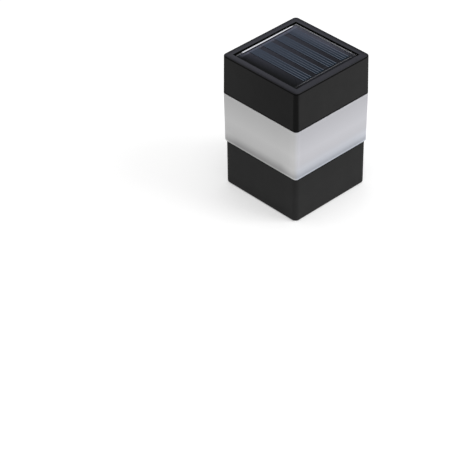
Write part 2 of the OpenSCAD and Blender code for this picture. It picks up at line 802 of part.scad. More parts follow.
module battery_lead_black() {
    color([0.06, 0.06, 0.06]) battery_lead(-1);
}

// Cover of the battery bay: a flap with a rounded hinge edge, two pins and a nail groove
module battery_cover() {
    far_y = bay_y + bay_w / 2 - cover_gap;
    groove_l = cover_l * groove_l_share;
    color([0.86, 0.86, 0.85]) difference() {
        union() {
            translate([-cover_l / 2, hinge_y, hinge_z - cover_t / 2])
                cube([cover_l, far_y - hinge_y, cover_t]);
            translate([-cover_l / 2, hinge_y, hinge_z]) rotate([0, 90, 0])
                cylinder(d = cover_t, h = cover_l, $fn = round_fn);
            translate([-cover_l / 2 - hinge_pin_l, hinge_y, hinge_z]) rotate([0, 90, 0])
                cylinder(r = hinge_pin_r, h = cover_l + 2 * hinge_pin_l, $fn = round_fn);
        }
        translate([-groove_l / 2, far_y - part_gap - groove_d, hinge_z - cover_t / 2]) rotate([0, 90, 0])
            cylinder(d = groove_d, h = groove_l, $fn = round_fn);
    }
}

base_collar();
diffuser();
collar_screws();
head_seal();
top_housing();
panel_tape();
panel_backing();
solar_cells();
cell_ribbons();
panel_resin();
lamp_chassis();
chassis_screws();
circuit_board();
board_screws();
led_lamps();
led_legs();
driver_chip();
inductor();
switch_case();
battery();
positive_contact();
negative_contact();
contact_spring();
panel_lead_red();
panel_lead_black();
battery_lead_red();
battery_lead_black();
switch_knob();
battery_cover();
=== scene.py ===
"""Looks of a solar fence light: a square black post cap with a frosted band and a solar panel.

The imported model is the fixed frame. Each piece made here is a surface worked out with numpy,
in metres, in that frame, and stands for the plain solid of the same name.
"""

import math

import bmesh
import bpy
import numpy as np
from mathutils import Matrix, Vector


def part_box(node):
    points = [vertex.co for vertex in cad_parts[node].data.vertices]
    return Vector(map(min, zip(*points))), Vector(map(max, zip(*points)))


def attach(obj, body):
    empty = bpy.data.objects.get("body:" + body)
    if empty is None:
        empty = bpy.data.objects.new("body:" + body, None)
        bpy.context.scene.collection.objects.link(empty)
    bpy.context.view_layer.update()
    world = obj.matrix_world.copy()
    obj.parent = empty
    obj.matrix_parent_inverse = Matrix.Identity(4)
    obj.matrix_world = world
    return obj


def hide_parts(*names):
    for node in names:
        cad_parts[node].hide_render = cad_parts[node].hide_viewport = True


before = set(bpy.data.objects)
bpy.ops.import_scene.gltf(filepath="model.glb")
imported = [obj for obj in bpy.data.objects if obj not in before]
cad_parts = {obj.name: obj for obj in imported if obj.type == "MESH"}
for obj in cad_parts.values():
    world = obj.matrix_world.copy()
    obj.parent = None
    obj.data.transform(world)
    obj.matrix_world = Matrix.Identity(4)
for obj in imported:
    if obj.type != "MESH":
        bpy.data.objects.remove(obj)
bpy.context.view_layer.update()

MM = 0.001


# Places read from the frame

collar_low, collar_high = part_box("base_collar")
diffuser_low, diffuser_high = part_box("diffuser")
collar_screw_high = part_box("collar_screws")[1]
seal_low, seal_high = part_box("head_seal")
housing_low, housing_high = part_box("top_housing")
resin_low, resin_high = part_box("panel_resin")
backing_low, backing_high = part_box("panel_backing")
tape_low, tape_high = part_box("panel_tape")
cells_low, cells_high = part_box("solar_cells")
ribbons_low, ribbons_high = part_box("cell_ribbons")
chassis_low, chassis_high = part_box("lamp_chassis")
chassis_screw_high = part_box("chassis_screws")[1]
board_low, board_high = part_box("circuit_board")
board_screw_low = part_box("board_screws")[0]
lamps_low, lamps_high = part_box("led_lamps")
legs_low, legs_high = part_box("led_legs")
chip_low, chip_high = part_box("driver_chip")
coil_low, coil_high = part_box("inductor")
switch_low, switch_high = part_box("switch_case")
knob_low, knob_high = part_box("switch_knob")
battery_low, battery_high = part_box("battery")
contact_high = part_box("positive_contact")[1]
spring_low, spring_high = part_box("contact_spring")
cover_low, cover_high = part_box("battery_cover")

body_half = housing_high.x
collar_half = collar_high.x
panel_half = resin_high.x


# Sizes that the box of a node doesn't give

corner_r = 2.8 * MM
housing_draft = 0.35 * MM
housing_wall = 2.2 * MM
top_edge_r = 0.7 * MM
rim_w = 4.9 * MM
web_t = 2.0 * MM
boss_d = 6.4 * MM
gusset_t = 1.6 * MM
gusset_r = 0.2 * MM
gusset_gap = 1.0 * MM
wire_slot_half = (7.0 * MM, 3.0 * MM)
wire_slot_y = board_high.y - 2.6 * MM
diffuser_wall = 2.2 * MM
diffuser_draft = 0.3 * MM
diffuser_edge_r = 1.2 * MM
floor_t = 2.0 * MM
floor_boss_h = 5.55 * MM
collar_corner_r = 3.1 * MM
collar_edge_r = 1.5 * MM
collar_wall = 2.0 * MM
spigot_h = 6.0 * MM
deck_t = 2.4 * MM
post_half = 26.0 * MM
stop_h = 5.8 * MM
stop_wall = 2.5 * MM
stop_lap = 0.4 * MM
rib_t = 1.6 * MM
rib_pitch = 13.0 * MM
rib_places = (-1, 0, 1)
lead_in = 1.6 * MM
fit = 0.3 * MM
seal_w = 1.0 * MM
seal_play = 0.02 * MM
tape_w = 3.0 * MM
plate_t = 2.4 * MM
plug_wall = 1.8 * MM
plug_edge_r = 0.4 * MM
bay_wall = 1.4 * MM
bay_play = 0.45 * MM
cover_t = 1.6 * MM
hinge_pin_r = 0.7 * MM
hinge_pin_l = 1.8 * MM
screw_d = 2.6 * MM
board_screw_d = 2.0 * MM
stud_d = 4.4 * MM
hole_play = 0.05 * MM
lamp_r = 2.5 * MM
lamp_flange_r = 3.2 * MM
lamp_flange_t = 1.0 * MM
lamp_hole_r = 2.8 * MM
leg_w = 0.5 * MM
leg_pitch = 2.54 * MM
leg_hole_r = 0.4 * MM
board_corner_r = 0.5 * MM
knob_slot_half = (1.1 * MM, 2.3 * MM)
lead_d = 1.2 * MM
lead_pitch = 5.0 * MM
lead_land_x = 4.5 * MM
lead_land_y = board_high.y - lead_d - 1.0 * MM
lead_stub = 1.6 * MM
contact_t = 0.4 * MM
tail_w = 3.0 * MM
sharp_r = 0.25 * MM
inside_r = 0.6 * MM
overlap = 0.3 * MM

# Where a profile starts beside its middle or its axis, before a fan closes it
middle_half = 1.0 * MM
pole_r = 0.1 * MM
fine_pole_r = 0.05 * MM

quarters = ((1, 1), (-1, 1), (-1, -1), (1, -1))
plate_low = housing_low.z
plate_top = plate_low + plate_t


def four_places(x, y, middle_y=0.0):
    """A place in each quarter, at the same distances from the middle."""
    return [(side_x * x, middle_y + side_y * y) for side_x, side_y in quarters]


# The widest part of a screw is its head, whose radius is the thread's diameter
collar_screw_at = collar_screw_high.x - screw_d
chassis_screw_at = chassis_screw_high.x - screw_d
collar_screw_places = four_places(collar_screw_at, collar_screw_at)
chassis_screw_places = four_places(chassis_screw_at, chassis_screw_at)

pocket_half = body_half - housing_draft - rim_w
cell_count = 4
strip_gap = 3.8 * MM
cell_w = (cells_high.x - cells_low.x - (cell_count - 1) * strip_gap) / cell_count
cell_pitch = cell_w + strip_gap
cell_first = cells_low.x + cell_w / 2
line_offsets = (0.4 * MM, 2.4 * MM, 4.4 * MM, 6.6 * MM)
line_w = 0.5 * MM
line_sink = 0.05 * MM
line_rise = 0.03 * MM
line_end = 0.3 * MM
line_r = 0.05 * MM
line_edge_r = 0.02 * MM
foil_r = 0.1 * MM
foil_edge_r = 0.04 * MM
ribbon_w = 1.4 * MM
ribbon_rise = 0.02 * MM
fine_edge_r = 0.05 * MM
resin_edge_r = 0.3 * MM


# Surfaces

SUPPORT = 0.2 * MM
CORNER_STEPS = 10
EDGE_STEPS = 5
ROUNDEST = 0.98
SHARP_ANGLE = math.radians(40)


def rectangle_ring(half_x, half_y, radius, steps=CORNER_STEPS):
    """Rounded rectangle about the origin: four quarter circles of the radius, with one more
    point a little way along the straight side before and after each."""
    angle = np.linspace(0, math.pi / 2, steps + 1)
    arc = np.stack([np.cos(angle), np.sin(angle)], -1) * radius
    lead = min(SUPPORT, half_x - radius, half_y - radius)
    arc = np.vstack([arc[0] - [0, lead], arc, arc[-1] - [lead, 0]])
    centre = np.array([half_x - radius, half_y - radius])
    first = arc + centre
    flip_x = (first * [-1, 1])[::-1]
    return np.vstack([first, flip_x, -first, -flip_x])


def circle_ring(radius, count):
    """Circle about the origin: radius times the cosine and sine of evenly spaced angles."""
    angle = np.arange(count) * 2 * math.pi / count
    return np.stack([np.cos(angle), np.sin(angle)], -1) * radius


def ring_at(ring, x, y):
    """The ring, carried to a place."""
    return ring + np.array([x, y])


def fillet(corners, closed=False, steps=EDGE_STEPS):
    """Profile with rounded corners. Each corner is (a, b, radius): the arc of that radius which
    touches both of its sides replaces it, and a point is added beside each end of the arc.
    Returns rows of a, b and the number of the corner that they belong to."""
    rows = []
    last = len(corners) - 1
    for i, (a, b, radius) in enumerate(corners):
        here = np.array([a, b])
        if radius == 0 or (i in (0, last) and not closed):
            rows.append((a, b, i))
            continue
        back = np.array(corners[i - 1][:2]) - here
        ahead = np.array(corners[(i + 1) % len(corners)][:2]) - here
        back = back / np.linalg.norm(back)
        ahead = ahead / np.linalg.norm(ahead)
        half_turn = math.acos(np.clip(back @ ahead, -1, 1)) / 2
        reach = radius / math.tan(half_turn)
        middle = back + ahead
        centre = here + middle / np.linalg.norm(middle) * radius / math.sin(half_turn)
        start = here + back * reach - centre
        turn = math.copysign(math.pi - 2 * half_turn, back[1] * ahead[0] - back[0] * ahead[1])
        angle = np.linspace(0, turn, steps + 1)
        arc = centre + np.stack([
            start[0] * np.cos(angle) - start[1] * np.sin(angle),
            start[0] * np.sin(angle) + start[1] * np.cos(angle)
        ], -1)
        support = min(SUPPORT, radius) / 2
        ends = here + np.outer([reach + support], back), here + np.outer([reach + support], ahead)
        rows.extend((*point, i) for point in np.vstack([ends[0], arc, ends[1]]))
    return rows


def outward(points, faces):
    """Turns the faces over if the skin's signed volume, the sum of a . (b x c) / 6, is negative."""
    volume = 0
    for rows in faces:
        for k in range(1, rows.shape[1] - 1):
            a, b, c = points[rows[:, 0]], points[rows[:, k]], points[rows[:, k + 1]]
            volume += np.einsum("ij,ij->i", a, np.cross(b, c)).sum()
    if volume < 0:
        faces = [rows[:, ::-1] for rows in faces]
    return points, faces


def skin(grid, loop=False):
    """Closed skin over a grid of points whose columns run round. Its rows run round as well if it
    is a loop, and otherwise a fan closes each end row to its middle."""
    rows, columns = grid.shape[:2]
    points = grid.reshape(-1, 3)
    row = np.arange(rows if loop else rows - 1)[:, None]
    below = (row + 1) % rows * columns
    row = row * columns
    column = np.arange(columns)[None, :]
    after = (column + 1) % columns
    quads = np.stack([row + column, row + after, below + after, below + column], -1)
    faces = [quads.reshape(-1, 4)]
    if not loop:
        for end, base in ((0, 0), (-1, (rows - 1) * columns)):
            points = np.vstack([points, grid[end].mean(0)])
            pole = np.full(columns, len(points) - 1)
            fan = np.stack([base + column[0], base + after[0], pole], -1)
            faces.append(fan if end else fan[:, ::-1])
    return outward(points, faces)


def loft(corners, radii, at=(0, 0, 0), longer=0.0, loop=False):
    """Skin of a profile carried round a rounded rectangle. Each corner of the profile is (half
    width, z, edge radius), radii gives the rectangle's own corner radius there, and longer is
    what its half length along X has over its half width along Y."""
    rings = []
    for half, z, i in fillet(corners, closed=loop):
        radius = max(radii[i] + half - corners[i][0], SUPPORT / 2)
        ring = rectangle_ring(half + longer, half, min(radius, half * ROUNDEST))
        rings.append(np.column_stack([ring, np.full(len(ring), z)]))
    return skin(np.array(rings) + np.array(at), loop)


def square_tube(inner, outer, low, high, radii, low_r=0, high_r=0, at=(0, 0, 0), longer=0.0):
    """Loft between an inner and an outer half width, with round lower and upper edges. The radii
    are those of the outer wall's foot and top, and of the inner wall's top and foot."""
    corners = [(outer, low, low_r), (outer, high, high_r), (inner, high, high_r), (inner, low, low_r)]
    return loft(corners, radii, at, longer, loop=True)


def slab(half, low, high, low_r, high_r):
    """Loft over a whole square, with round lower and upper edges."""
    corners = [(middle_half, low, 0), (half, low, low_r), (half, high, high_r), (middle_half, high, 0)]
    return loft(corners, [inside_r] * 4)


def lathe(corners, at=(0, 0, 0), count=48):
    """Skin of revolution: each point (r, z) of the profile runs round an upright axis."""
    rings = [np.column_stack([circle_ring(r, count), np.full(count, z)]) for r, z, _ in fillet(corners)]
    return skin(np.array(rings) + np.array(at))


def rod(radius, low, high, low_r=0, high_r=0, at=(0, 0, 0), pole=pole_r, count=48):
    """Upright turned rod with round lower and upper edges."""
    return lathe([(pole, low, 0), (radius, low, low_r), (radius, high, high_r), (pole, high, 0)], at, count)


def block(low, high, radius=0.3 * MM, edge_r=0.2 * MM):
    """Upright box with rounded corners and edges: rounded rectangles stacked from low to high,
    whose inset near each end follows a quarter circle."""
    low, high = np.array(low), np.array(high)
    half = (high - low) / 2
    steps = 4
    angle = np.linspace(0, math.pi / 2, steps)
    inset = edge_r * (1 - np.sin(angle))
    drop = edge_r * (1 - np.cos(angle))
    levels = [*zip(inset, drop - half[2]), *zip(inset[::-1], (half[2] - drop)[::-1])]
    rings = []
    for inset, z in levels:
        ring = rectangle_ring(half[0] - inset, half[1] - inset, max(radius - inset, SUPPORT / 4), steps)
        rings.append(np.column_stack([ring, np.full(len(ring), z)]))
    return skin(np.array(rings) + (high + low) / 2)


def extruded(outline, low, high):
    """Skin of a flat outline in the YZ plane, carried along X from low to high."""
    outline = np.array(outline)
    ends = [np.column_stack([np.full(len(outline), x), outline]) for x in (low, high)]
    return skin(np.array(ends))


def plate(outline, holes, low, high, edge_r=0.15 * MM):
    """Flat plate with round edges: the area inside the outline and outside the holes, from low to
    high. The outlines are flat curves, filled, thickened and bevelled."""
    curve = bpy.data.curves.new("outline", "CURVE")
    curve.dimensions = "2D"
    curve.fill_mode = "BOTH"
    curve.extrude = (high - low) / 2 - edge_r
    curve.bevel_depth = edge_r
    curve.bevel_resolution = 1
    curve.offset = -edge_r
    for ring in [outline] + [hole[::-1] for hole in holes]:
        spline = curve.splines.new("POLY")
        spline.points.add(len(ring) - 1)
        filled = np.column_stack([ring, np.zeros(len(ring)), np.ones(len(ring))])
        spline.points.foreach_set("co", filled.ravel())
        spline.use_cyclic_u = True
    carrier = bpy.data.objects.new("outline", curve)
    shape = bmesh.new()
    shape.from_mesh(carrier.to_mesh())
    weld = 0.001 * MM
    bmesh.ops.remove_doubles(shape, verts=shape.verts, dist=weld)
    bmesh.ops.recalc_face_normals(shape, faces=shape.faces)
    points = np.array([v.co[:] for v in shape.verts]) + [0, 0, (low + high) / 2]
    shape.verts.index_update()
    faces = sorted_faces([[v.index for v in face.verts] for face in shape.faces])
    shape.free()
    bpy.data.objects.remove(carrier)
    bpy.data.curves.remove(curve)
    return outward(points, faces)


def sweep(path, radius, lean, count=16):
    """Tube along a path: at each point a circle in the plane across the path, whose two axes are
    the cross products of the tangent with a leaning direction."""
    path = np.array(path)
    tangent = np.gradient(path, axis=0)
    tangent /= np.linalg.norm(tangent, axis=1)[:, None]
    side = np.cross(tangent, lean)
    side /= np.linalg.norm(side, axis=1)[:, None]
    over = np.cross(tangent, side)
    ring = circle_ring(1, count)
    grid = path[:, None] + radius * (side[:, None] * ring[None, :, :1] + over[:, None] * ring[None, :, 1:])
    return skin(grid)


def smooth_route(stations, steps=12):
    """Smooth curve through the stations: the cubic of each span bends with the stations beside it."""
    p = np.array([stations[0], *stations, stations[-1]])
    t = np.linspace(0, 1, steps, endpoint=False)[None, :, None]
    a, b, c, d = (p[k:len(p) - 3 + k, None] for k in range(4))
    bend = (2 * a - 5 * b + 4 * c - d) * t ** 2 + (3 * b - a - 3 * c + d) * t ** 3
    curve = (2 * b + (c - a) * t + bend) / 2
    return np.vstack([curve.reshape(-1, 3), p[-1]])


def screw(at, diameter, length, up=1):
    """Pan-head screw with a cross recess. The head is a set of rings round the axis. The rings'
    points keep to the sides of the cross's arms, at the angle whose sine is the half width over
    the radius, and those between the sides lie at the recess's floor."""
    head_r = diameter
    head_h = 0.7 * diameter
    arm_w = 0.12 * diameter
    arm_l = 0.55 * diameter
    depth = 0.35 * diameter
    crown_h = 0.35 * head_h
    lip = 0.012 * diameter
    arm_radii = [1.45 * arm_w, 0.5 * arm_l, 0.8 * arm_l, arm_l, arm_l + lip]
    radii = np.array([*arm_radii, 0.75 * head_r, 0.92 * head_r])
    rings = []
    for r in radii:
        side = math.asin(min(arm_w / r, 1))
        step = min(lip / r, (math.pi / 4 - side) / 2)
        quarter = np.array([-side - step, -side, 0, side, side + step, math.pi / 4])
        angle = (np.arange(4)[:, None] * math.pi / 2 + quarter[None, :]).ravel()
        crown = -head_h + crown_h * (r / head_r) ** 2
        inside = np.tile([False, True, True, True, False, False], 4) & (r <= arm_l)
        z = np.where(inside | (r == radii[0]), crown + depth, crown)
        rings.append(np.stack([r * np.cos(angle), r * np.sin(angle), z], -1))
    for r, z in ((head_r, -head_h / 2), (head_r, 0), (diameter / 2, 0), (diameter / 2, length)):
        rings.append(np.stack([r * np.cos(angle), r * np.sin(angle), np.full(len(angle), z)], -1))
    return skin(np.array(rings) * [1, 1, up] + np.array(at))


def turned(part, at=(0, 0, 0)):
    """The skin with its upright axis laid along X, then carried to a place."""
    points, faces = part
    return outward(points[:, [2, 1, 0]] + np.array(at), faces)


def pair_along_x(part, x, y, z):
    """An upright skin laid along X at -x and at x, so that both point away from the middle."""
    points, faces = turned(part)
    return [outward(points * [side, 1, 1] + [side * x, y, z], faces) for side in (-1, 1)]


def joined(name, parts):
    """Mesh of several skins."""
    points = []
    faces = []
    base = 0
    for part_points, part_faces in parts:
        points.append(part_points)
        for rows in part_faces:
            faces.extend((rows + base).tolist())
        base += len(part_points)
    mesh = bpy.data.meshes.new(name)
    mesh.from_pydata(np.vstack(points).tolist(), [], faces)
    mesh.update()
    return mesh


def sorted_faces(polygons):
    """Corner numbers of the polygons, as one array for each number of corners."""
    faces = {}
    for corners in polygons:
        faces.setdefault(len(corners), []).append(corners)
    return [np.array(rows) for rows in faces.values()]


def carved(part, cutters):
    """The skin less the space inside the cutters' skins."""
    whole = bpy.data.objects.new("whole", joined("whole", [part]))
    cutter = bpy.data.objects.new("cutter", joined("cutter", cutters))
    for obj in (whole, cutter):
        bpy.context.scene.collection.objects.link(obj)
    cut = whole.modifiers.new("cut", "BOOLEAN")
    cut.operation = "DIFFERENCE"
    cut.solver = "EXACT"
    cut.object = cutter
    result = whole.evaluated_get(bpy.context.evaluated_depsgraph_get()).to_mesh()
    points = np.array([v.co[:] for v in result.vertices])
    faces = sorted_faces([list(p.vertices) for p in result.polygons])
    for obj in (whole, cutter):
        mesh = obj.data
        bpy.data.objects.remove(obj)
        bpy.data.meshes.remove(mesh)
    return points, faces


def make(name, parts, body, replaced, material):
    """Joins the skins into one piece, which rides on a body and stands for its plain solid."""
    mesh = joined(name, parts)
    mesh.polygons.foreach_set("use_smooth", [True] * len(mesh.polygons))
    mesh.set_sharp_from_angle(angle=SHARP_ANGLE)
    mesh.update()
    obj = bpy.data.objects.new(name, mesh)
    bpy.context.scene.collection.objects.link(obj)
    obj.data.materials.append(material)
    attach(obj, body)
    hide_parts(replaced)


# Materials

def new_material(name):
    """Material with its Principled shader: returns the material, its tree and the shader."""
    material = bpy.data.materials.new(name)
    material.use_nodes = True
    tree = material.node_tree
    return material, tree, tree.nodes["Principled BSDF"]


def put(tree, socket, value):
    """Links a socket to another, or sets its value."""
    if isinstance(value, bpy.types.NodeSocket):
        tree.links.new(value, socket)
    else:
        socket.default_value = value


def node(tree, kind, inputs=None, **settings):
    """Adds a node, sets its properties, and links or sets its inputs."""
    made = tree.nodes.new(kind)
    for key, value in settings.items():
        setattr(made, key, value)
    for key, value in (inputs or {}).items():
        put(tree, made.inputs[key], value)
    return made


def grey(level, blue=0.0):
    """Grey of a linear level, a little bluer if asked."""
    return (level, level * (1 + blue / 2), level * (1 + blue), 1)


def maths(tree, operation, first, second=0.0):
    """Result of a sum, product or other operation on one or two values."""
    return node(tree, "ShaderNodeMath", {0: first, 1: second}, operation=operation).outputs["Value"]


def ranged(tree, value, low, high, start=0.0, end=1.0, smooth=False):
    """Maps a value that runs from start to end to the range from low to high."""
    kind = "SMOOTHSTEP" if smooth else "LINEAR"
    made = node(tree, "ShaderNodeMapRange", {
        "Value": value, "From Min": start, "From Max": end, "To Min": low, "To Max": high
    }, interpolation_type=kind)
    return made.outputs["Result"]


def band(tree, value, start, end, soft):
    """Mask that is 1 between start and end, and fades over a soft width outside them."""
    rise = ranged(tree, value, 0.0, 1.0, start - soft, start, True)
    fall = ranged(tree, value, 1.0, 0.0, end, end + soft, True)
    return maths(tree, "MULTIPLY", rise, fall)


def mixed(tree, factor, first, second):
    """Colour that runs from the first to the second with the factor."""
    made = node(tree, "ShaderNodeMix", data_type="RGBA")
    for index, value in ((0, factor), (6, first), (7, second)):
        put(tree, made.inputs[index], value)
    return made.outputs[2]


def times(tree, first, second):
    """Product of two colours, where a plain value counts as a grey."""
    made = node(tree, "ShaderNodeMix", data_type="RGBA", blend_type="MULTIPLY")
    for index, value in ((0, 1.0), (6, first), (7, second)):
        put(tree, made.inputs[index], value)
    return made.outputs[2]


def stepped(tree, value, low, high, stops):
    """Grey that follows a value from low to high through stops of (share of the way, level)."""
    ramp = node(tree, "ShaderNodeValToRGB", {"Fac": ranged(tree, value, 0.0, 1.0, low, high)})
    while len(ramp.color_ramp.elements) < len(stops):
        ramp.color_ramp.elements.new(0.5)
    for element, (share, level) in zip(ramp.color_ramp.elements, stops):
        element.position = share
        element.color = grey(level)
    return ramp.outputs["Color"]


def axes(tree):
    """X, Y and Z of the Object coordinates."""
    place = node(tree, "ShaderNodeTexCoord")
    split = node(tree, "ShaderNodeSeparateXYZ", {"Vector": place.outputs["Object"]})
    return split.outputs["X"], split.outputs["Y"], split.outputs["Z"]


def larger(tree, first, second):
    """Larger of two values."""
    return maths(tree, "MAXIMUM", first, second)


def across(tree, x, y):
    """Half of X less Y. It is below 0 on the -X side and above 0 on the -Y side, and 0 at the
    upright corner between them."""
    return maths(tree, "MULTIPLY", maths(tree, "SUBTRACT", x, y), 0.5)


def grain_group():
    """Moulded grain: two sizes of noise in Object coordinates, as a height and a mottle mask."""
    tree = bpy.data.node_groups.new("moulded_grain", "ShaderNodeTree")
    tree.interface.new_socket("Scale", in_out="INPUT", socket_type="NodeSocketFloat")
    tree.interface.new_socket("Height", in_out="OUTPUT", socket_type="NodeSocketFloat")
    tree.interface.new_socket("Mottle", in_out="OUTPUT", socket_type="NodeSocketFloat")
    given = tree.nodes.new("NodeGroupInput")
    result = tree.nodes.new("NodeGroupOutput")
    place = node(tree, "ShaderNodeTexCoord")
    fine = node(tree, "ShaderNodeTexNoise", {
        "Vector": place.outputs["Object"], "Scale": given.outputs["Scale"], "Detail": 3.0
    })
    broad = node(tree, "ShaderNodeTexNoise", {
        "Vector": place.outputs["Object"], "Scale": 90.0, "Detail": 4.0, "Roughness": 0.6
    })
    tree.links.new(fine.outputs["Fac"], result.inputs["Height"])
    tree.links.new(broad.outputs["Fac"], result.inputs["Mottle"])
    return tree


grain = grain_group()


def finish(tree, shader, scale, depth, rough_low, rough_high):
    """Adds the grain's bump and its mottled roughness to a shader, and returns the mottle mask."""
    group = node(tree, "ShaderNodeGroup", node_tree=grain)
    group.inputs["Scale"].default_value = scale
    mottle = group.outputs["Mottle"]
    put(tree, shader.inputs["Roughness"], ranged(tree, mottle, rough_low, rough_high))
    bump = node(tree, "ShaderNodeBump", {
        "Height": group.outputs["Height"], "Strength": 1.0, "Distance": depth
    })
    put(tree, shader.inputs["Normal"], bump.outputs["Normal"])
    return mottle


def moulded(name, dark, light, rough_low, rough_high, scale, depth, specular):
    """Moulded plastic: mottled colour and roughness, and a fine grain as bump."""
    material, tree, shader = new_material(name)
    mottle = finish(tree, shader, scale, depth, rough_low, rough_high)
    put(tree, shader.inputs["Base Color"], mixed(tree, mottle, dark, light))
    shader.inputs["Specular IOR Level"].default_value = specular
    return material


satin = {"scale": 2600.0, "depth": 0.02 * MM, "rough_low": 0.42, "rough_high": 0.55}
satin_specular = 0.03


def housing_plastic():
    """Satin black plastic of the head, with painted light and shade: the -X side painted darker than
    the -Y side, a painted bluish sheen on the rim's face, which fades towards its outer edge, and
    painted shade in the top edge's fold, on the pocket's wall, along the foot and on the upright
    corners."""
    material, tree, shader = new_material("satin_black_plastic")
    mottle = finish(tree, shader, **satin)
    x, y, z = axes(tree)
    top = housing_high.z
    foot = housing_low.z
    # Painted light and shade on the sides: the -X side darker than the -Y side, darkest beside the upright
    # corner between them
    painted_side_stops = (
        (0.07, 0.86), (0.25, 0.67), (0.44, 0.60), (0.47, 0.60), (0.5, 0.75), (0.53, 0.88), (0.75, 0.95),
        (0.93, 1.0)
    )
    dark, light, painted_edge_shade, painted_deep_shade = grey(0.026), grey(0.038), grey(0.0095), grey(0.002)
    rim_sheen_dark, rim_sheen_light = (0.032, 0.0325, 0.0395, 1), (0.042, 0.0425, 0.0515, 1)
    side = stepped(tree, across(tree, x, y), -body_half, body_half, painted_side_stops)
    base = times(tree, mixed(tree, mottle, dark, light), side)
    # Painted shade: a dark band down each upright corner, and a dark line along the foot where the head
    # meets the diffuser
    corner_shift = 0.4 * MM
    past_x = maths(tree, "SUBTRACT", maths(tree, "ABSOLUTE", x), corner_shift)
    past_y = maths(tree, "ADD", maths(tree, "ABSOLUTE", y), corner_shift)
    arc_start = body_half - corner_r
    corner_span = (arc_start - 0.2 * MM, arc_start + 0.6 * MM)
    seam_span = (foot + 0.8 * MM, foot + 1.4 * MM)
    corner = ranged(tree, maths(tree, "MINIMUM", past_x, past_y), 0.0, 1.0, *corner_span, smooth=True)
    seam_shade = ranged(tree, z, 1.0, 0.0, *seam_span, smooth=True)
    base = mixed(tree, larger(tree, corner, seam_shade), base, painted_edge_shade)
    right_shift, back_shift, front_shift = 0.5 * MM, 0.4 * MM, -1.8 * MM
    left = maths(tree, "MULTIPLY", x, -1.0)
    right = maths(tree, "ADD", x, right_shift)
    back = maths(tree, "ADD", y, back_shift)
    front = maths(tree, "ADD", maths(tree, "MULTIPLY", y, -1.0), front_shift)
    reach = larger(tree, larger(tree, left, right), larger(tree, back, front))
    # Painted sheen on the rim's face: a lighter, bluer copy of the plastic that fades from the pocket
    # towards the outer edge and grows towards +Y
    rim_sheen_stops = (
        (0.0, 1.0), (0.25, 0.96), (0.45, 0.87), (0.55, 0.8), (0.65, 0.68), (0.75, 0.52), (0.85, 0.38),
        (1.0, 0.24)
    )
    fade_w = 5.0 * MM
    fade = stepped(tree, reach, pocket_half, pocket_half + fade_w, rim_sheen_stops)
    glow = maths(tree, "MULTIPLY", fade, ranged(tree, y, 0.76, 0.98, -pocket_half, pocket_half))
    rim = times(tree, mixed(tree, mottle, rim_sheen_dark, rim_sheen_light), glow)
    # Painted shade: dark in the fold just below the top edge and on the pocket's wall
    face_span = (top - 0.15 * MM, top - 0.05 * MM)
    fold_span = (top - 0.9 * MM, top - 0.25 * MM)
    fold_soft = 0.15 * MM
    far_shift = 0.22 * MM
    wall_span = (pocket_half + 0.05 * MM, pocket_half + 0.2 * MM)
    face = ranged(tree, z, 0.0, 1.0, *face_span)
    fold = band(tree, z, *fold_span, fold_soft)
    far = maths(tree, "SUBTRACT", larger(tree, x, y), far_shift)
    near = maths(tree, "MULTIPLY", maths(tree, "MINIMUM", x, y), -1.0)
    wall = ranged(tree, larger(tree, far, near), 1.0, 0.0, *wall_span)
    shade = larger(tree, fold, wall)
    put(tree, shader.inputs["Base Color"], mixed(tree, shade, mixed(tree, face, base, rim), painted_deep_shade))
    shader.inputs["Specular IOR Level"].default_value = satin_specular
    return material


def collar_plastic():
    """Satin black plastic of the collar, with painted light and shade: a little lighter low down, darker
    towards its top, and a painted shadow line along its top edge under the diffuser's foot.
    """
    material, tree, shader = new_material("satin_black_collar")
    mottle = finish(tree, shader, **satin)
    z = axes(tree)[2]
    top = diffuser_low.z
    light_below = 10 * MM
    seam_span = (top - 1.0 * MM, top - 0.4 * MM)
    dark, light, seam_shadow = grey(0.030), grey(0.042), grey(0.012)
    # Painted shade: the tone darkens from 10 mm up to the top, under the diffuser
    base = times(tree, mixed(tree, mottle, dark, light), ranged(tree, z, 1.0, 0.88, light_below, top))
    # Painted shadow line along the top edge, under the diffuser's foot
    seam_shade = ranged(tree, z, 0.0, 1.0, *seam_span, smooth=True)
    put(tree, shader.inputs["Base Color"], mixed(tree, seam_shade, base, seam_shadow))
    shader.inputs["Specular IOR Level"].default_value = satin_specular
    return material


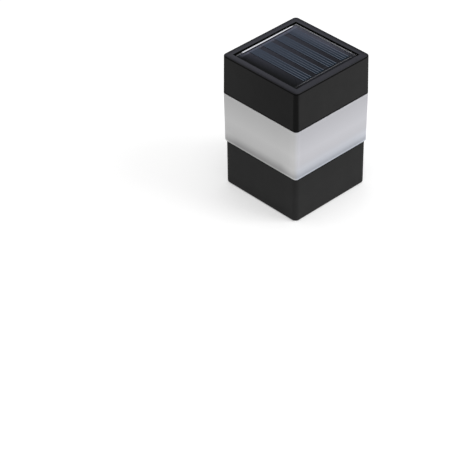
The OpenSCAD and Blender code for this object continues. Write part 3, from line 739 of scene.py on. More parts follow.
def frosted():
    """Frosted white plastic with painted light and shade: painted shade low down where the black
    spigot stands behind it and near the top under the head, a little painted light along both
    edges, its sides painted lighter or darker, and a painted bluish tint on the -Y side."""
    material, tree, shader = new_material("frosted_white_plastic")
    finish(tree, shader, scale=1800.0, depth=0.01 * MM, rough_low=0.5, rough_high=0.6)
    x, y, z = axes(tree)
    low = diffuser_low.z
    # Painted shade by height: dark low down where the black spigot stands behind the wall and near the top
    # under the head, with a little painted light at both edges
    stops = (
        (0.0, 0.82), (0.02, 0.80), (0.036, 0.715), (0.055, 0.555), (0.08, 0.555), (0.106, 0.62),
        (0.16, 0.757), (0.22, 0.863), (0.5, 0.93), (0.93, 0.785), (1.0, 0.82)
    )
    # Painted light on the sides: the -X side lighter than the -Y side, brightest at the upright corner
    # between them
    painted_side_stops = (
        (0.01, 0.89), (0.15, 0.875), (0.377, 0.885), (0.454, 0.925), (0.477, 0.983), (0.5, 1.0),
        (0.515, 0.86), (0.531, 0.79), (0.99, 0.80)
    )
    place = across(tree, x, y)
    side = stepped(tree, place, -body_half, body_half, painted_side_stops)
    # Painted light on the sides low down, with its own levels; from 4 to 11 mm above the foot it gives way
    # to the painted light above
    low_side_light_stops = (
        (0.02, 0.95), (0.045, 0.9), (0.1, 0.757), (0.4, 0.757), (0.466, 1.0), (0.49, 1.0), (0.52, 0.85),
        (0.9, 0.85), (0.965, 0.93)
    )
    low_gain = 1.07
    low_side_light = maths(tree, "MULTIPLY", stepped(tree, place, -body_half, body_half, low_side_light_stops), low_gain)
    through_span = (low + 4 * MM, low + 11 * MM)
    through = mixed(tree, ranged(tree, z, 0.0, 1.0, *through_span, smooth=True), low_side_light, side)
    # Painted bluish tint on the -Y side, strongest low down
    high_tint, low_tint = (0.965, 0.965, 1.025, 1), (0.935, 0.995, 1.115, 1)
    chill_h = 12 * MM
    painted_cool_tint = mixed(tree, ranged(tree, z, 1.0, 0.0, low, low + chill_h), high_tint, low_tint)
    turn_w = 1.0 * MM
    side_tint = mixed(tree, ranged(tree, place, 0.0, 1.0, -turn_w, turn_w), grey(1.0), painted_cool_tint)
    height = stepped(tree, z, low, diffuser_high.z, stops)
    put(tree, shader.inputs["Base Color"], times(tree, times(tree, height, through), side_tint))
    shader.inputs["Specular IOR Level"].default_value = 0.3
    return material


def haze_and_reflection_group():
    """Haze of the cast resin with a painted reflection on it, as a mask over the panel under it: it
    grows towards +X and +Y, is thin at the corner of the +X and -Y edges, and evens out along the
    +X edge. Near +Y it is raised further as painted light, against the shadow under the resin's
    painted highlight."""
    tree = bpy.data.node_groups.new("resin_haze_and_reflection", "ShaderNodeTree")
    tree.interface.new_socket("Mask", in_out="OUTPUT", socket_type="NodeSocketFloat")
    result = tree.nodes.new("NodeGroupOutput")
    x, y = axes(tree)[:2]
    edge = panel_half
    stops = (
        (0.024, 0.0), (0.043, 0.005), (0.062, 0.012), (0.081, 0.022), (0.119, 0.036), (0.157, 0.054),
        (0.2, 0.058), (0.843, 0.058), (0.871, 0.085), (0.91, 0.11), (0.953, 0.165), (1.0, 0.2)
    )
    # Painted reflection over the resin's haze, growing towards +X and +Y
    haze = maths(tree, "MULTIPLY", stepped(tree, x, -edge, edge, stops),
                 ranged(tree, y, 0.57, 2.33, -edge, edge))
    corner_x, corner_y = (19 * MM, 21 * MM), (-23.5 * MM, -20.5 * MM)
    side_x, side_y = (20 * MM, 22.5 * MM), (-2 * MM, 14 * MM)
    back_x, back_y = (-25.5 * MM, -18 * MM), (21.8 * MM, 24.2 * MM)
    clear_corner = maths(tree, "MULTIPLY", ranged(tree, x, 0.0, 0.6, *corner_x),
                         ranged(tree, y, 1.0, 0.0, *corner_y))
    calm_side = maths(tree, "MULTIPLY", ranged(tree, x, 0.0, 0.3, *side_x),
                      ranged(tree, y, 0.0, 1.0, *side_y))
    kept = maths(tree, "SUBTRACT", 1.0, larger(tree, clear_corner, calm_side))
    # Painted light near +Y, against the shadow under the resin's painted highlight
    back = maths(tree, "MULTIPLY", ranged(tree, y, 0.0, 0.42, *back_y), ranged(tree, x, 0.0, 1.0, *back_x))
    mask = larger(tree, maths(tree, "MULTIPLY", haze, kept), back)
    tree.links.new(mask, result.inputs["Mask"])
    return tree


resin_haze_and_reflection = haze_and_reflection_group()
haze_and_reflection_colour = (0.2, 0.206, 0.276, 1)


def under_haze_and_reflection(tree, colour):
    """Colour as it shows through the resin's haze and the painted reflection on it."""
    group = node(tree, "ShaderNodeGroup", node_tree=resin_haze_and_reflection)
    return mixed(tree, group.outputs["Mask"], colour, haze_and_reflection_colour)


def plain(name, colour, rough, metal=0.0, specular=0.5, scale=1500.0, depth=0.005 * MM, under_resin=False):
    """Simple finish: a slight mottle in its colour and roughness, and a faint grain."""
    material, tree, shader = new_material(name)
    spread = 0.15
    mottle = finish(tree, shader, scale, depth, rough * (1 - spread), rough * (1 + spread))
    shade_level = 0.8
    shade = tuple(shade_level * part for part in colour[:3]) + (1,)
    colour = mixed(tree, mottle, shade, colour)
    # Under the resin, its haze and painted reflection are mixed in
    if under_resin:
        colour = under_haze_and_reflection(tree, colour)
    put(tree, shader.inputs["Base Color"], colour)
    shader.inputs["Metallic"].default_value = metal
    shader.inputs["Specular IOR Level"].default_value = specular
    return material


# Half of the way along Y over which the painted light on the strips and their lines changes
fade_half = 20 * MM


def silicon_material():
    """Blue-grey silicon with painted light, lighter towards +Y: fine crossing lines along X, and a slow
    drift of its tone."""
    material, tree, shader = new_material("silicon_strip")
    mottle = finish(tree, shader, scale=900.0, depth=0.002 * MM, rough_low=0.35, rough_high=0.5)
    y = axes(tree)[1]
    line_pitch = 1.0 * MM
    phase = maths(tree, "MULTIPLY", y, 2 * math.pi / line_pitch)
    line = ranged(tree, maths(tree, "SINE", phase), 0.85, 1.0, 0.8, 1.0)
    # Painted light: the colour runs from dark near -Y to lighter near +Y
    near, far = (0.008, 0.0165, 0.025, 1), (0.021, 0.032, 0.045, 1)
    base = mixed(tree, ranged(tree, y, 0.0, 1.0, -fade_half, fade_half), near, far)
    drift = maths(tree, "MULTIPLY", line, ranged(tree, mottle, 0.75, 1.1))
    put(tree, shader.inputs["Base Color"], under_haze_and_reflection(tree, times(tree, base, drift)))
    shader.inputs["Specular IOR Level"].default_value = 0.0
    return material


def silver_material():
    """Silver print of the lines along a strip, with a painted sheen that is bright near -Y and fades into
    the silicon towards +Y.
    """
    material, tree, shader = new_material("silver_line")
    finish(tree, shader, scale=1500.0, depth=0.005 * MM, rough_low=0.42, rough_high=0.57)
    y = axes(tree)[1]
    # Painted sheen: bright near -Y, darkening towards +Y
    near, far = (0.085, 0.096, 0.12, 1), (0.018, 0.027, 0.04, 1)
    print_and_sheen = mixed(tree, ranged(tree, y, 0.0, 1.0, -fade_half, fade_half), near, far)
    put(tree, shader.inputs["Base Color"], under_haze_and_reflection(tree, print_and_sheen))
    shader.inputs["Specular IOR Level"].default_value = 0.0
    return material


def resin_material():
    """Clear cast resin with painted highlights: a pale painted highlight along the +Y edge, and thin
    painted highlights along the +X and -Y edges."""
    material, tree, shader = new_material("clear_resin")
    x, y = axes(tree)[:2]
    edge = panel_half
    # Painted highlights: the pale colour shows where Alpha rises along the edges
    highlight_slope = 0.022
    highlight_span, highlight_soft = (-20.5 * MM, 22.0 * MM), 1.3 * MM
    rise_span, fall_span = (edge - 1.6 * MM, edge - 1.1 * MM), (edge - 0.7 * MM, edge - 0.1 * MM)
    right_span, corner_span = (edge - 0.65 * MM, edge - 0.15 * MM), (-25 * MM, -21 * MM)
    front_span, front_soft = (-edge + 1.05 * MM, -edge + 1.35 * MM), 0.35 * MM
    middle_span, middle_soft = (-20 * MM, 20 * MM), 4 * MM
    ends = ranged(tree, band(tree, x, *highlight_span, highlight_soft), 0.1, 0.82)
    leaning = maths(tree, "SUBTRACT", y, maths(tree, "MULTIPLY", larger(tree, x, 0.0), highlight_slope))
    rise = ranged(tree, leaning, 0.0, 1.0, *rise_span, smooth=True)
    fall = ranged(tree, leaning, 1.0, 0.35, *fall_span, smooth=True)
    back = maths(tree, "MULTIPLY", maths(tree, "MULTIPLY", rise, fall), ends)
    right = maths(tree, "MULTIPLY", ranged(tree, x, 0.0, 0.45, *right_span, smooth=True),
                  ranged(tree, y, 0.35, 1.0, *corner_span))
    front = maths(tree, "MULTIPLY", band(tree, y, *front_span, front_soft),
                  ranged(tree, band(tree, x, *middle_span, middle_soft), 0.03, 0.075))
    put(tree, shader.inputs["Alpha"], larger(tree, back, larger(tree, right, front)))
    shader.inputs["Base Color"].default_value = (0.78, 0.79, 0.84, 1)
    finish(tree, shader, scale=300.0, depth=0.0015 * MM, rough_low=0.08, rough_high=0.16)
    return material


def board_material():
    """Green board: paler tracks that run along X and Y under the varnish."""
    material, tree, shader = new_material("board_green")
    mottle = finish(tree, shader, scale=1200.0, depth=0.004 * MM, rough_low=0.28, rough_high=0.4)
    place = node(tree, "ShaderNodeTexCoord")
    cells = node(tree, "ShaderNodeTexBrick", {
        "Vector": place.outputs["Object"], "Scale": 1.0, "Mortar Size": 0.35 * MM, "Mortar Smooth": 0.1,
        "Brick Width": 9.0 * MM, "Row Height": 2.6 * MM
    }, offset=0.37, squash=1.0)
    dark, light, track = (0.008, 0.07, 0.022, 1), (0.012, 0.095, 0.032, 1), (0.03, 0.2, 0.07, 1)
    base = mixed(tree, mottle, dark, light)
    put(tree, shader.inputs["Base Color"], mixed(tree, cells.outputs["Fac"], base, track))
    return material


def sleeve_material():
    """Green shrink sleeve with a pale band near the positive end."""
    material, tree, shader = new_material("cell_sleeve")
    finish(tree, shader, scale=700.0, depth=0.004 * MM, rough_low=0.22, rough_high=0.34)
    x = axes(tree)[0]
    green, pale = (0.03, 0.2, 0.07, 1), (0.75, 0.76, 0.7, 1)
    stripe_span, stripe_soft = (battery_high.x - 9.0 * MM, battery_high.x - 6.0 * MM), 0.05 * MM
    stripe = band(tree, x, *stripe_span, stripe_soft)
    put(tree, shader.inputs["Base Color"], mixed(tree, stripe, green, pale))
    return material


def lens_material():
    """Clear lamp epoxy, faintly warm, through which the phosphor cup shows."""
    material, tree, shader = new_material("lamp_epoxy")
    finish(tree, shader, scale=400.0, depth=0.002 * MM, rough_low=0.05, rough_high=0.1)
    shader.inputs["Base Color"].default_value = (0.86, 0.85, 0.76, 1)
    shader.inputs["Alpha"].default_value = 0.45
    return material


head_black = housing_plastic()
collar_black = collar_plastic()
white_plastic = moulded(
    "white_plastic", dark=grey(0.68), light=grey(0.74), rough_low=0.4, rough_high=0.5, scale=2000.0,
    depth=0.01 * MM, specular=0.3
)
frosted_plastic = frosted()
board_black = plain("panel_board_black", grey(0.009, 0.1), rough=0.6, specular=0.0, under_resin=True)
silicon = silicon_material()
silver_line = silver_material()
tinned_ribbon = plain(
    "tinned_ribbon", (0.02, 0.021, 0.024, 1), rough=0.5, specular=0.0, under_resin=True
)
resin = resin_material()
steel = plain("screw_steel", (0.5, 0.5, 0.52, 1), rough=0.3, metal=1.0)
contact_metal = plain("contact_nickel", (0.66, 0.64, 0.58, 1), rough=0.3, metal=1.0)
solder = plain("solder", (0.7, 0.7, 0.7, 1), rough=0.25, metal=1.0)
board_green = board_material()
chip_black = plain("chip_black", (0.015, 0.015, 0.016, 1), rough=0.55, specular=0.2)
copper = plain("copper_wire", (0.62, 0.25, 0.11, 1), rough=0.3, metal=1.0)
ferrite = plain("ferrite_core", (0.03, 0.03, 0.032, 1), rough=0.6, specular=0.2)
lamp_epoxy = lens_material()
phosphor = plain("lamp_phosphor", (0.8, 0.62, 0.12, 1), rough=0.6)
cell_sleeve = sleeve_material()
lead_red = plain("lead_red", (0.45, 0.012, 0.01, 1), rough=0.4)
lead_black = plain("lead_black", (0.012, 0.012, 0.012, 1), rough=0.4, specular=0.2)
foam = plain("foam_black", (0.02, 0.02, 0.021, 1), rough=0.9, specular=0.1, scale=1200.0, depth=0.1 * MM)
rubber = plain("rubber_seal", (0.035, 0.035, 0.037, 1), rough=0.75, specular=0.15)


# Collar and diffuser

def make_collar():
    """Collar: rim at the foot, wall, shoulder, spigot and deck, with the hollow under them, the
    stop ring below the deck and three centring ribs on each side."""
    foot, top = collar_low.z, collar_high.z
    shoulder = diffuser_low.z
    deck = top - deck_t
    wall_in = collar_half - collar_wall
    spigot = body_half - diffuser_wall - fit
    spigot_in = spigot - collar_wall
    wall_r = collar_corner_r - collar_wall
    corners = [
        (middle_half, top, 0), (spigot, top, sharp_r), (spigot, shoulder, sharp_r),
        (collar_half, shoulder, sharp_r), (collar_half, foot, collar_edge_r),
        (wall_in, foot, sharp_r), (wall_in, shoulder - collar_wall, sharp_r),
        (spigot_in, shoulder - collar_wall, sharp_r), (spigot_in, deck, sharp_r), (middle_half, deck, 0)
    ]
    radii = [0, inside_r, inside_r, collar_corner_r, collar_corner_r, wall_r, wall_r, inside_r, inside_r, 0]
    stop_ring = square_tube(post_half - stop_wall, post_half + stop_lap, deck - stop_h, deck + overlap,
                            [inside_r] * 4, sharp_r)
    parts = [loft(corners, radii), stop_ring]
    low_y = wall_in + collar_wall / 2
    high_y = spigot_in + collar_wall / 2
    shoulder_z = shoulder - collar_wall / 2
    outline = [
        (-low_y, lead_in), (-post_half - lead_in, lead_in), (-post_half, 3 * lead_in),
        (-post_half, deck + overlap), (-high_y, deck + overlap), (-high_y, shoulder_z), (-low_y, shoulder_z)
    ]
    for place in rib_places:
        points, faces = extruded(outline, place * rib_pitch - rib_t / 2, place * rib_pitch + rib_t / 2)
        for turn in range(4):
            spin = np.array(Matrix.Rotation(turn * math.pi / 2, 3, "Z"))
            parts.append((points @ spin.T, faces))
    make("collar_moulding", parts, "base", "base_collar", collar_black)
    length = collar_screw_high.z - deck
    deck_screws = [screw((x, y, deck), screw_d, length) for x, y in collar_screw_places]
    make("deck_screws", deck_screws, "base", "collar_screws", steel)


def make_diffuser():
    """Diffuser: a leaning wall with a round lower edge, a skirt, a floor with four screw bosses,
    and the seal's rebate."""
    foot, top = diffuser_low.z, diffuser_high.z
    half = diffuser_high.x
    foot_half = half - diffuser_draft
    chamber = half - diffuser_wall
    inner_r = corner_r - diffuser_wall
    floor_low = foot + spigot_h
    floor_top = floor_low + floor_t
    rebate = chamber + seal_w
    corners = [
        (middle_half, floor_top, 0), (chamber, floor_top, sharp_r), (chamber, seal_low.z, sharp_r / 2),
        (rebate, seal_low.z, sharp_r / 2), (rebate, top, sharp_r / 2), (half, top, sharp_r),
        (foot_half, foot, diffuser_edge_r), (chamber, foot, sharp_r), (chamber, floor_low, sharp_r),
        (middle_half, floor_low, 0)
    ]
    radii = [0, inner_r, inner_r, inner_r, inner_r, corner_r, corner_r, inner_r, inner_r, 0]
    parts = [loft(corners, radii)]
    for x, y in collar_screw_places:
        parts.append(rod(boss_d / 2, floor_top - overlap, floor_top + floor_boss_h, 0, sharp_r, (x, y, 0)))
    make("frosted_diffuser", parts, "base", "diffuser", frosted_plastic)
    ring = square_tube(chamber + seal_play, rebate - seal_play, seal_low.z, seal_high.z, [inner_r] * 4,
                       sharp_r, sharp_r)
    make("rubber_seal", [ring], "base", "head_seal", rubber)


# Head housing and panel

def make_housing():
    """Head housing: leaning sides, rounded top edge, rim and panel pocket, a web with a slot for
    the leads, and four gusseted screw bosses in the cavity."""
    foot, top = housing_low.z, housing_high.z
    top_half = body_half - housing_draft
    pocket = pocket_half
    cavity = body_half - housing_wall
    cavity_r = corner_r - housing_wall
    web_top = tape_low.z
    web_low = web_top - web_t
    shell = loft([
        (pocket, web_top, 0), (pocket, top, sharp_r), (top_half, top, top_edge_r),
        (body_half, foot, sharp_r), (cavity, foot, sharp_r), (cavity, web_low, sharp_r), (pocket, web_low, 0)
    ], [inside_r, inside_r, corner_r, corner_r, cavity_r, cavity_r, inside_r], loop=True)
    slot = ring_at(rectangle_ring(*wire_slot_half, sharp_r, 2), 0, wire_slot_y)
    web = plate(rectangle_ring(pocket + overlap, pocket + overlap, inside_r), [slot], web_low, web_top)
    parts = [shell, web]
    boss_top = web_low + overlap
    place = chassis_screw_at
    length = (place + boss_d / 2 - inside_r, cavity + housing_wall / 2)
    width = (place - gusset_t / 2, place + gusset_t / 2)
    for side_x, side_y in quarters:
        at = (side_x * place, side_y * place, 0)
        parts.append(rod(boss_d / 2, plate_top, boss_top, sharp_r, 0, at))
        for span_x, span_y in ((length, width), (width, length)):
            x0, x1 = sorted(side_x * x for x in span_x)
            y0, y1 = sorted(side_y * y for y in span_y)
            parts.append(block((x0, y0, plate_top + gusset_gap), (x1, y1, boss_top), gusset_r))
    make("head_housing", parts, "head", "top_housing", head_black)
    screw_length = chassis_screw_high.z - plate_low
    heads = [screw((x, y, plate_low), screw_d, screw_length) for x, y in chassis_screw_places]
    make("plate_screws", heads, "head", "chassis_screws", steel)


def strip_places():
    """Middle of each cell strip along X."""
    return [cell_first + i * cell_pitch for i in range(cell_count)]


def make_panel():
    """Panel: foam tape, a black board, four strips with silver lines along them, dark ribbons that
    join the strips, and resin with a soft edge over them."""
    tape = square_tube(panel_half - tape_w, panel_half, tape_low.z, tape_high.z, [inside_r] * 4)
    make("foam_tape", [tape], "head", "panel_tape", foam)
    board = slab(backing_high.x, backing_low.z, backing_high.z, sharp_r, fine_edge_r)
    make("panel_board", [board], "head", "panel_backing", board_black)
    strips = []
    fingers = []
    for x in strip_places():
        left = x - cell_w / 2
        right = left + cell_w
        strips.append(block(
            (left, cells_low.y, cells_low.z), (right, cells_high.y, cells_high.z), foil_r, foil_edge_r
        ))
        for offset in line_offsets:
            middle = left + offset
            fingers.append(block(
                (middle - line_w / 2, cells_low.y + line_end, cells_high.z - line_sink),
                (middle + line_w / 2, cells_high.y - line_end, cells_high.z + line_rise), line_r, line_edge_r
            ))
    make("silicon_strips", strips, "head", "solar_cells", silicon)
    make("silver_lines", fingers, "head", "solar_cells", silver_line)
    bridges = []
    for i, x in enumerate(strip_places()[:-1]):
        edge = ribbons_high.y if i % 2 == 0 else ribbons_low.y + ribbon_w
        bridges.append(block(
            (x + cell_w / 2 - overlap, edge - ribbon_w, ribbons_low.z),
            (x + cell_pitch - cell_w / 2 + overlap, edge, ribbons_high.z + ribbon_rise), foil_r, foil_edge_r
        ))
    make("strip_ribbons", bridges, "head", "cell_ribbons", tinned_ribbon)
    cover = slab(panel_half, resin_low.z, resin_high.z, fine_edge_r, resin_edge_r)
    make("resin_cover", [cover], "head", "panel_resin", resin)


# Lamp chassis, battery cover and battery

bay_x = contact_high.x
bay_y = (battery_low.y + battery_high.y) / 2
bay_half_y = (battery_high.y - battery_low.y) / 2 + bay_play
bay_ceiling = battery_high.z + bay_play
battery_z = (battery_low.z + battery_high.z) / 2
board_y = (board_low.y + board_high.y) / 2
stud_x = board_high.x - stud_d / 2
stud_y = (board_high.y - board_low.y) / 2 - stud_d / 2
stud_places = four_places(stud_x, stud_y, board_y)
lamp_x = lamps_high.x - lamp_flange_r
lamp_places = [(side * lamp_x, board_y) for side in (-1, 1)]
leg_places = [(x + side * leg_pitch / 2, y) for x, y in lamp_places for side in (-1, 1)]
switch_x = (switch_low.x + switch_high.x) / 2
hinge_y = cover_low.y + cover_t / 2
hinge_z = (cover_low.z + cover_high.z) / 2


def make_chassis():
    """Lamp chassis: a plate pierced for the battery bay, lamps, switch and screws, a plug ring
    below it, and the bay's walls, its slotted ceiling and four studs above it."""
    half = chassis_high.x
    screw_hole = circle_ring(screw_d / 2 + hole_play, 32)
    lamp_hole = circle_ring(lamp_hole_r, 48)
    holes = [ring_at(screw_hole, x, y) for x, y in chassis_screw_places]
    holes.extend(ring_at(lamp_hole, x, y) for x, y in lamp_places)
    holes.append(ring_at(rectangle_ring(bay_x, bay_half_y, sharp_r, 3), 0, bay_y))
    holes.append(ring_at(rectangle_ring(*knob_slot_half, sharp_r, 3), switch_x, board_y))
    floor = plate(rectangle_ring(half, half, inside_r), holes, plate_low, plate_top)
    bore_start = -1.0 * MM
    bore = rod(hinge_pin_r + hole_play, bore_start, hinge_pin_l + fit, pole=fine_pole_r, count=24)
    parts = [carved(floor, pair_along_x(bore, bay_x, hinge_y, hinge_z))]
    parts.append(square_tube(half - plug_wall, half, chassis_low.z, plate_low + overlap, [inside_r] * 4,
                             plug_edge_r))
    wall_out = bay_half_y + bay_wall
    wall_r = 2 * sharp_r
    parts.append(square_tube(
        bay_half_y, wall_out, plate_top - overlap, bay_ceiling + overlap, [wall_r, wall_r, sharp_r, sharp_r],
        at=(0, bay_y, 0), longer=bay_x - bay_half_y
    ))
    tail_hole_r = 0.1 * MM
    tail_hole = rectangle_ring(contact_t / 2 + hole_play, tail_w / 2 + fit, tail_hole_r, 2)
    tail_x = bay_x - contact_t / 2
    parts.append(plate(
        ring_at(rectangle_ring(bay_x + bay_wall, wall_out, wall_r), 0, bay_y),
        [ring_at(tail_hole, side * tail_x, bay_y) for side in (-1, 1)], bay_ceiling, bay_ceiling + bay_wall
    ))
    bore_r = board_screw_d / 2 + hole_play
    bore_z = board_screw_low.z - fit
    foot = plate_top - plate_t / 2
    for x, y in stud_places:
        parts.append(lathe([
            (pole_r, foot, 0), (stud_d / 2, foot, 0), (stud_d / 2, board_low.z, sharp_r / 2),
            (bore_r, board_low.z, 0), (bore_r, bore_z, 0), (pole_r, bore_z, 0)
        ], (x, y, 0)))
    make("chassis_moulding", parts, "head", "lamp_chassis", white_plastic)


def make_cover():
    """Battery cover: a flap whose section has a round hinge edge, carried along X, with a nail
    groove pressed into the middle of its lower face, and a hinge pin at each end."""
    far = cover_high.y
    low, high = cover_low.z, cover_high.z
    edge_r = 0.3 * MM
    rows = fillet([
        (far, low, edge_r), (far, high, edge_r), (hinge_y, high, 0), (cover_low.y, hinge_z, 0),
        (hinge_y, low, 0)
    ], closed=True, steps=4)
    edge = np.array([row[:2] for row in rows if row[2] < 2])
    angle = np.linspace(math.pi / 2, 3 * math.pi / 2, 13)
    barrel = np.stack([hinge_y + cover_t / 2 * np.cos(angle), hinge_z + cover_t / 2 * np.sin(angle)], -1)
    groove_r = 0.6 * MM
    groove_y = far - 2.2 * MM
    groove_points = 9
    dip = np.linspace(math.pi, 0, groove_points)
    groove = np.stack([groove_y + groove_r * np.cos(dip), np.full(groove_points, low)], -1)
    cut = len(edge) // 2
    outline = np.vstack([edge[cut:], barrel, groove, edge[:cut]])
    first = len(edge) - cut + len(barrel)
    depth = np.zeros(len(outline))
    depth[first:first + groove_points] = groove_r * np.sin(dip)
    half = cover_high.x - hinge_pin_l
    bevel = 0.15 * MM
    groove_half = 6 * MM
    end_share, whole = (0.97, 0.85), (1, 1)
    stations = (
        (-half, end_share, 0), (-half + bevel, whole, 0), (-groove_half - bevel, whole, 0),
        (-groove_half, whole, 1), (groove_half, whole, 1), (groove_half + bevel, whole, 0),
        (half - bevel, whole, 0), (half, end_share, 0)
    )
    centre = np.array([(hinge_y + far) / 2, hinge_z])
    sections = []
    for x, share, pressed in stations:
        section = centre + (outline - centre) * share
        section = section + np.stack([np.zeros(len(depth)), depth * pressed], -1)
        sections.append(np.column_stack([np.full(len(section), x), section]))
    pin = rod(hinge_pin_r, 0, hinge_pin_l + overlap, 0, bevel, pole=fine_pole_r, count=24)
    parts = [skin(np.array(sections)), *pair_along_x(pin, half - overlap, hinge_y, hinge_z)]
    make("bay_cover", parts, "cover", "battery_cover", white_plastic)


def make_battery():
    """Battery: a sleeved can along X with a crimp groove near its positive end, a steel nub and a
    flat steel negative end, and the coil spring that presses on it."""
    r = (battery_high.z - battery_low.z) / 2
    at = (battery_low.x, bay_y, battery_z)
    nub_h = 1.0 * MM
    length = battery_high.x - nub_h - battery_low.x
    lip_w, lip_sink, lip_r = 0.8 * MM, 0.15 * MM, 0.1 * MM
    shoulder_w, shoulder_l, shoulder_r = 0.3 * MM, 0.5 * MM, 0.3 * MM
    crimp, crimp_half, crimp_depth = length - 3.6 * MM, 0.6 * MM, 0.35 * MM
    can = lathe([
        (r - lip_w, lip_sink, 0), (r - shoulder_w, 0, lip_r), (r, shoulder_l, shoulder_r),
        (r, crimp - crimp_half, shoulder_r), (r - crimp_depth, crimp, shoulder_r),
        (r, crimp + crimp_half, shoulder_r), (r, length - shoulder_l, shoulder_r),
        (r - shoulder_w, length, lip_r), (r - lip_w, length - lip_sink, 0)
    ], count=64)
    make("cell_sleeve", [turned(can, at)], "head", "battery", cell_sleeve)
    end_r = r - lip_w / 2
    end_low, end_high = 0.05 * MM, length - 0.1 * MM
    nub_r, nub_flare, nub_edge_r = 1.89 * MM, 0.2 * MM, 0.25 * MM
    ends = lathe([
        (pole_r, end_low, 0), (end_r, end_low, 0), (end_r, end_high, 0), (nub_r + nub_flare, end_high, 0),
        (nub_r, length + nub_h, nub_edge_r), (pole_r, length + nub_h, 0)
    ], count=64)
    make("cell_ends", [turned(ends, at)], "head", "battery", contact_metal)
    wire = 0.45 * MM
    turns = 3
    wide_r, taper = 3.78 * MM, 0.63 * MM
    angle = np.linspace(0, turns * 2 * math.pi, 36 * turns + 1)
    share = angle / angle[-1]
    coil_r = wide_r - taper * share
    spring_x = spring_low.x + wire / 2 + (spring_high.x - spring_low.x - wire) * share
    path = np.stack([spring_x, bay_y + coil_r * np.cos(angle), battery_z + coil_r * np.sin(angle)], -1)
    make(
        "coil_spring", [sweep(path, wire / 2, (1, 0, 0), 12)], "head", "contact_spring",
        contact_metal
    )


# Board and what it carries

def make_board():
    """Circuit board with its four screws."""
    half_x = board_high.x
    half_y = (board_high.y - board_low.y) / 2
    top = board_high.z
    screw_hole = circle_ring(board_screw_d / 2 + hole_play, 24)
    leg_hole = circle_ring(leg_hole_r, 16)
    holes = [ring_at(screw_hole, x, y) for x, y in stud_places]
    holes.extend(ring_at(leg_hole, x, y) for x, y in leg_places)
    outline = ring_at(rectangle_ring(half_x, half_y, board_corner_r), 0, board_y)
    board = plate(outline, holes, board_low.z, top, fine_edge_r)
    make("driver_board", [board], "head", "circuit_board", board_green)
    length = top - board_screw_low.z
    screws = [screw((x, y, top), board_screw_d, length, -1) for x, y in stud_places]
    make("stud_screws", screws, "head", "board_screws", steel)


def make_lamps():
    """Lamps: lenses with a flange and a dome, the phosphor cup on its post inside each, and the
    legs, with a cone of solder round each leg on the board."""
    tip = lamps_low.z
    edge_r = 0.1 * MM
    flange_top = plate_top + lamp_flange_t
    dome = [
        (fine_pole_r, flange_top, 0), (lamp_flange_r, flange_top, edge_r),
        (lamp_flange_r, plate_top, edge_r), (lamp_r, plate_top, 0), (lamp_r, tip + lamp_r, 0)
    ]
    rise = np.linspace(0, math.pi / 2, 10)[1:-1]
    dome.extend((lamp_r * math.cos(a), tip + lamp_r * (1 - math.sin(a)), 0) for a in rise)
    dome.append((fine_pole_r, tip, 0))
    lenses = [lathe(dome, (x, y, 0)) for x, y in lamp_places]
    make("lamp_lenses", lenses, "head", "led_lamps", lamp_epoxy)
    cup_r, cup_top_r = 0.9 * MM, 0.7 * MM
    cup_low = tip + 3.2 * MM
    cup_top = cup_low + 1.0 * MM
    post_r, post_top_r = 0.4 * MM, 0.3 * MM
    post_top = flange_top - 0.1 * MM
    cup = [
        (fine_pole_r, cup_low, 0), (cup_r, cup_low, edge_r), (cup_top_r, cup_top, 0), (post_r, cup_top, 0),
        (post_top_r, post_top, 0), (fine_pole_r, post_top, 0)
    ]
    cups = [lathe(cup, (x, y, 0), 24) for x, y in lamp_places]
    make("phosphor_cups", cups, "head", "led_lamps", phosphor)
    joint_pole_r, joint_sink = 0.02 * MM, 0.02 * MM
    joint_r, neck_r, end_r = 0.9 * MM, 0.54 * MM, 0.28 * MM
    neck_h, joint_h = 0.3 * MM, 1.0 * MM
    foot = board_high.z
    joint = [
        (joint_pole_r, foot - joint_sink, 0), (joint_r, foot - joint_sink, 0),
        (neck_r, foot + neck_h, edge_r), (end_r, foot + joint_h, edge_r / 2),
        (joint_pole_r, foot + joint_h, 0)
    ]
    joints = [lathe(joint, (x, y, 0), 20) for x, y in leg_places]
    half = leg_w / 2
    legs = [
        block((x - half, y - half, legs_low.z), (x + half, y + half, legs_high.z), edge_r, edge_r)
        for x, y in leg_places
    ]
    make("soldered_legs", joints + legs, "head", "led_legs", solder)


def make_chip():
    """Driver chip: its body, and four pins on each side that bend down to the board."""
    half_y = 1.95 * MM
    body_gap = 0.15 * MM
    edge_r = 0.15 * MM
    body = block(
        (chip_low.x, board_y - half_y, chip_low.z + body_gap), (chip_high.x, board_y + half_y, chip_high.z),
        edge_r, edge_r
    )
    pin_pitch = 1.27 * MM
    pin_half = 0.22 * MM
    pin_shape = np.array([
        (1.8, 0.85), (2.3, 0.85), (2.45, 0.2), (3.0, 0.2), (3.0, 0.0), (2.3, 0.0), (2.15, 0.65), (1.8, 0.65)
    ]) * MM
    chip_x = (chip_low.x + chip_high.x) / 2
    parts = [body]
    for k in (-1.5, -0.5, 0.5, 1.5):
        x = chip_x + k * pin_pitch
        for side in (-1, 1):
            outline = pin_shape * [side, 1] + [board_y, board_high.z]
            parts.append(extruded(outline, x - pin_half, x + pin_half))
    make("driver_chip_body", parts, "head", "driver_chip", chip_black)


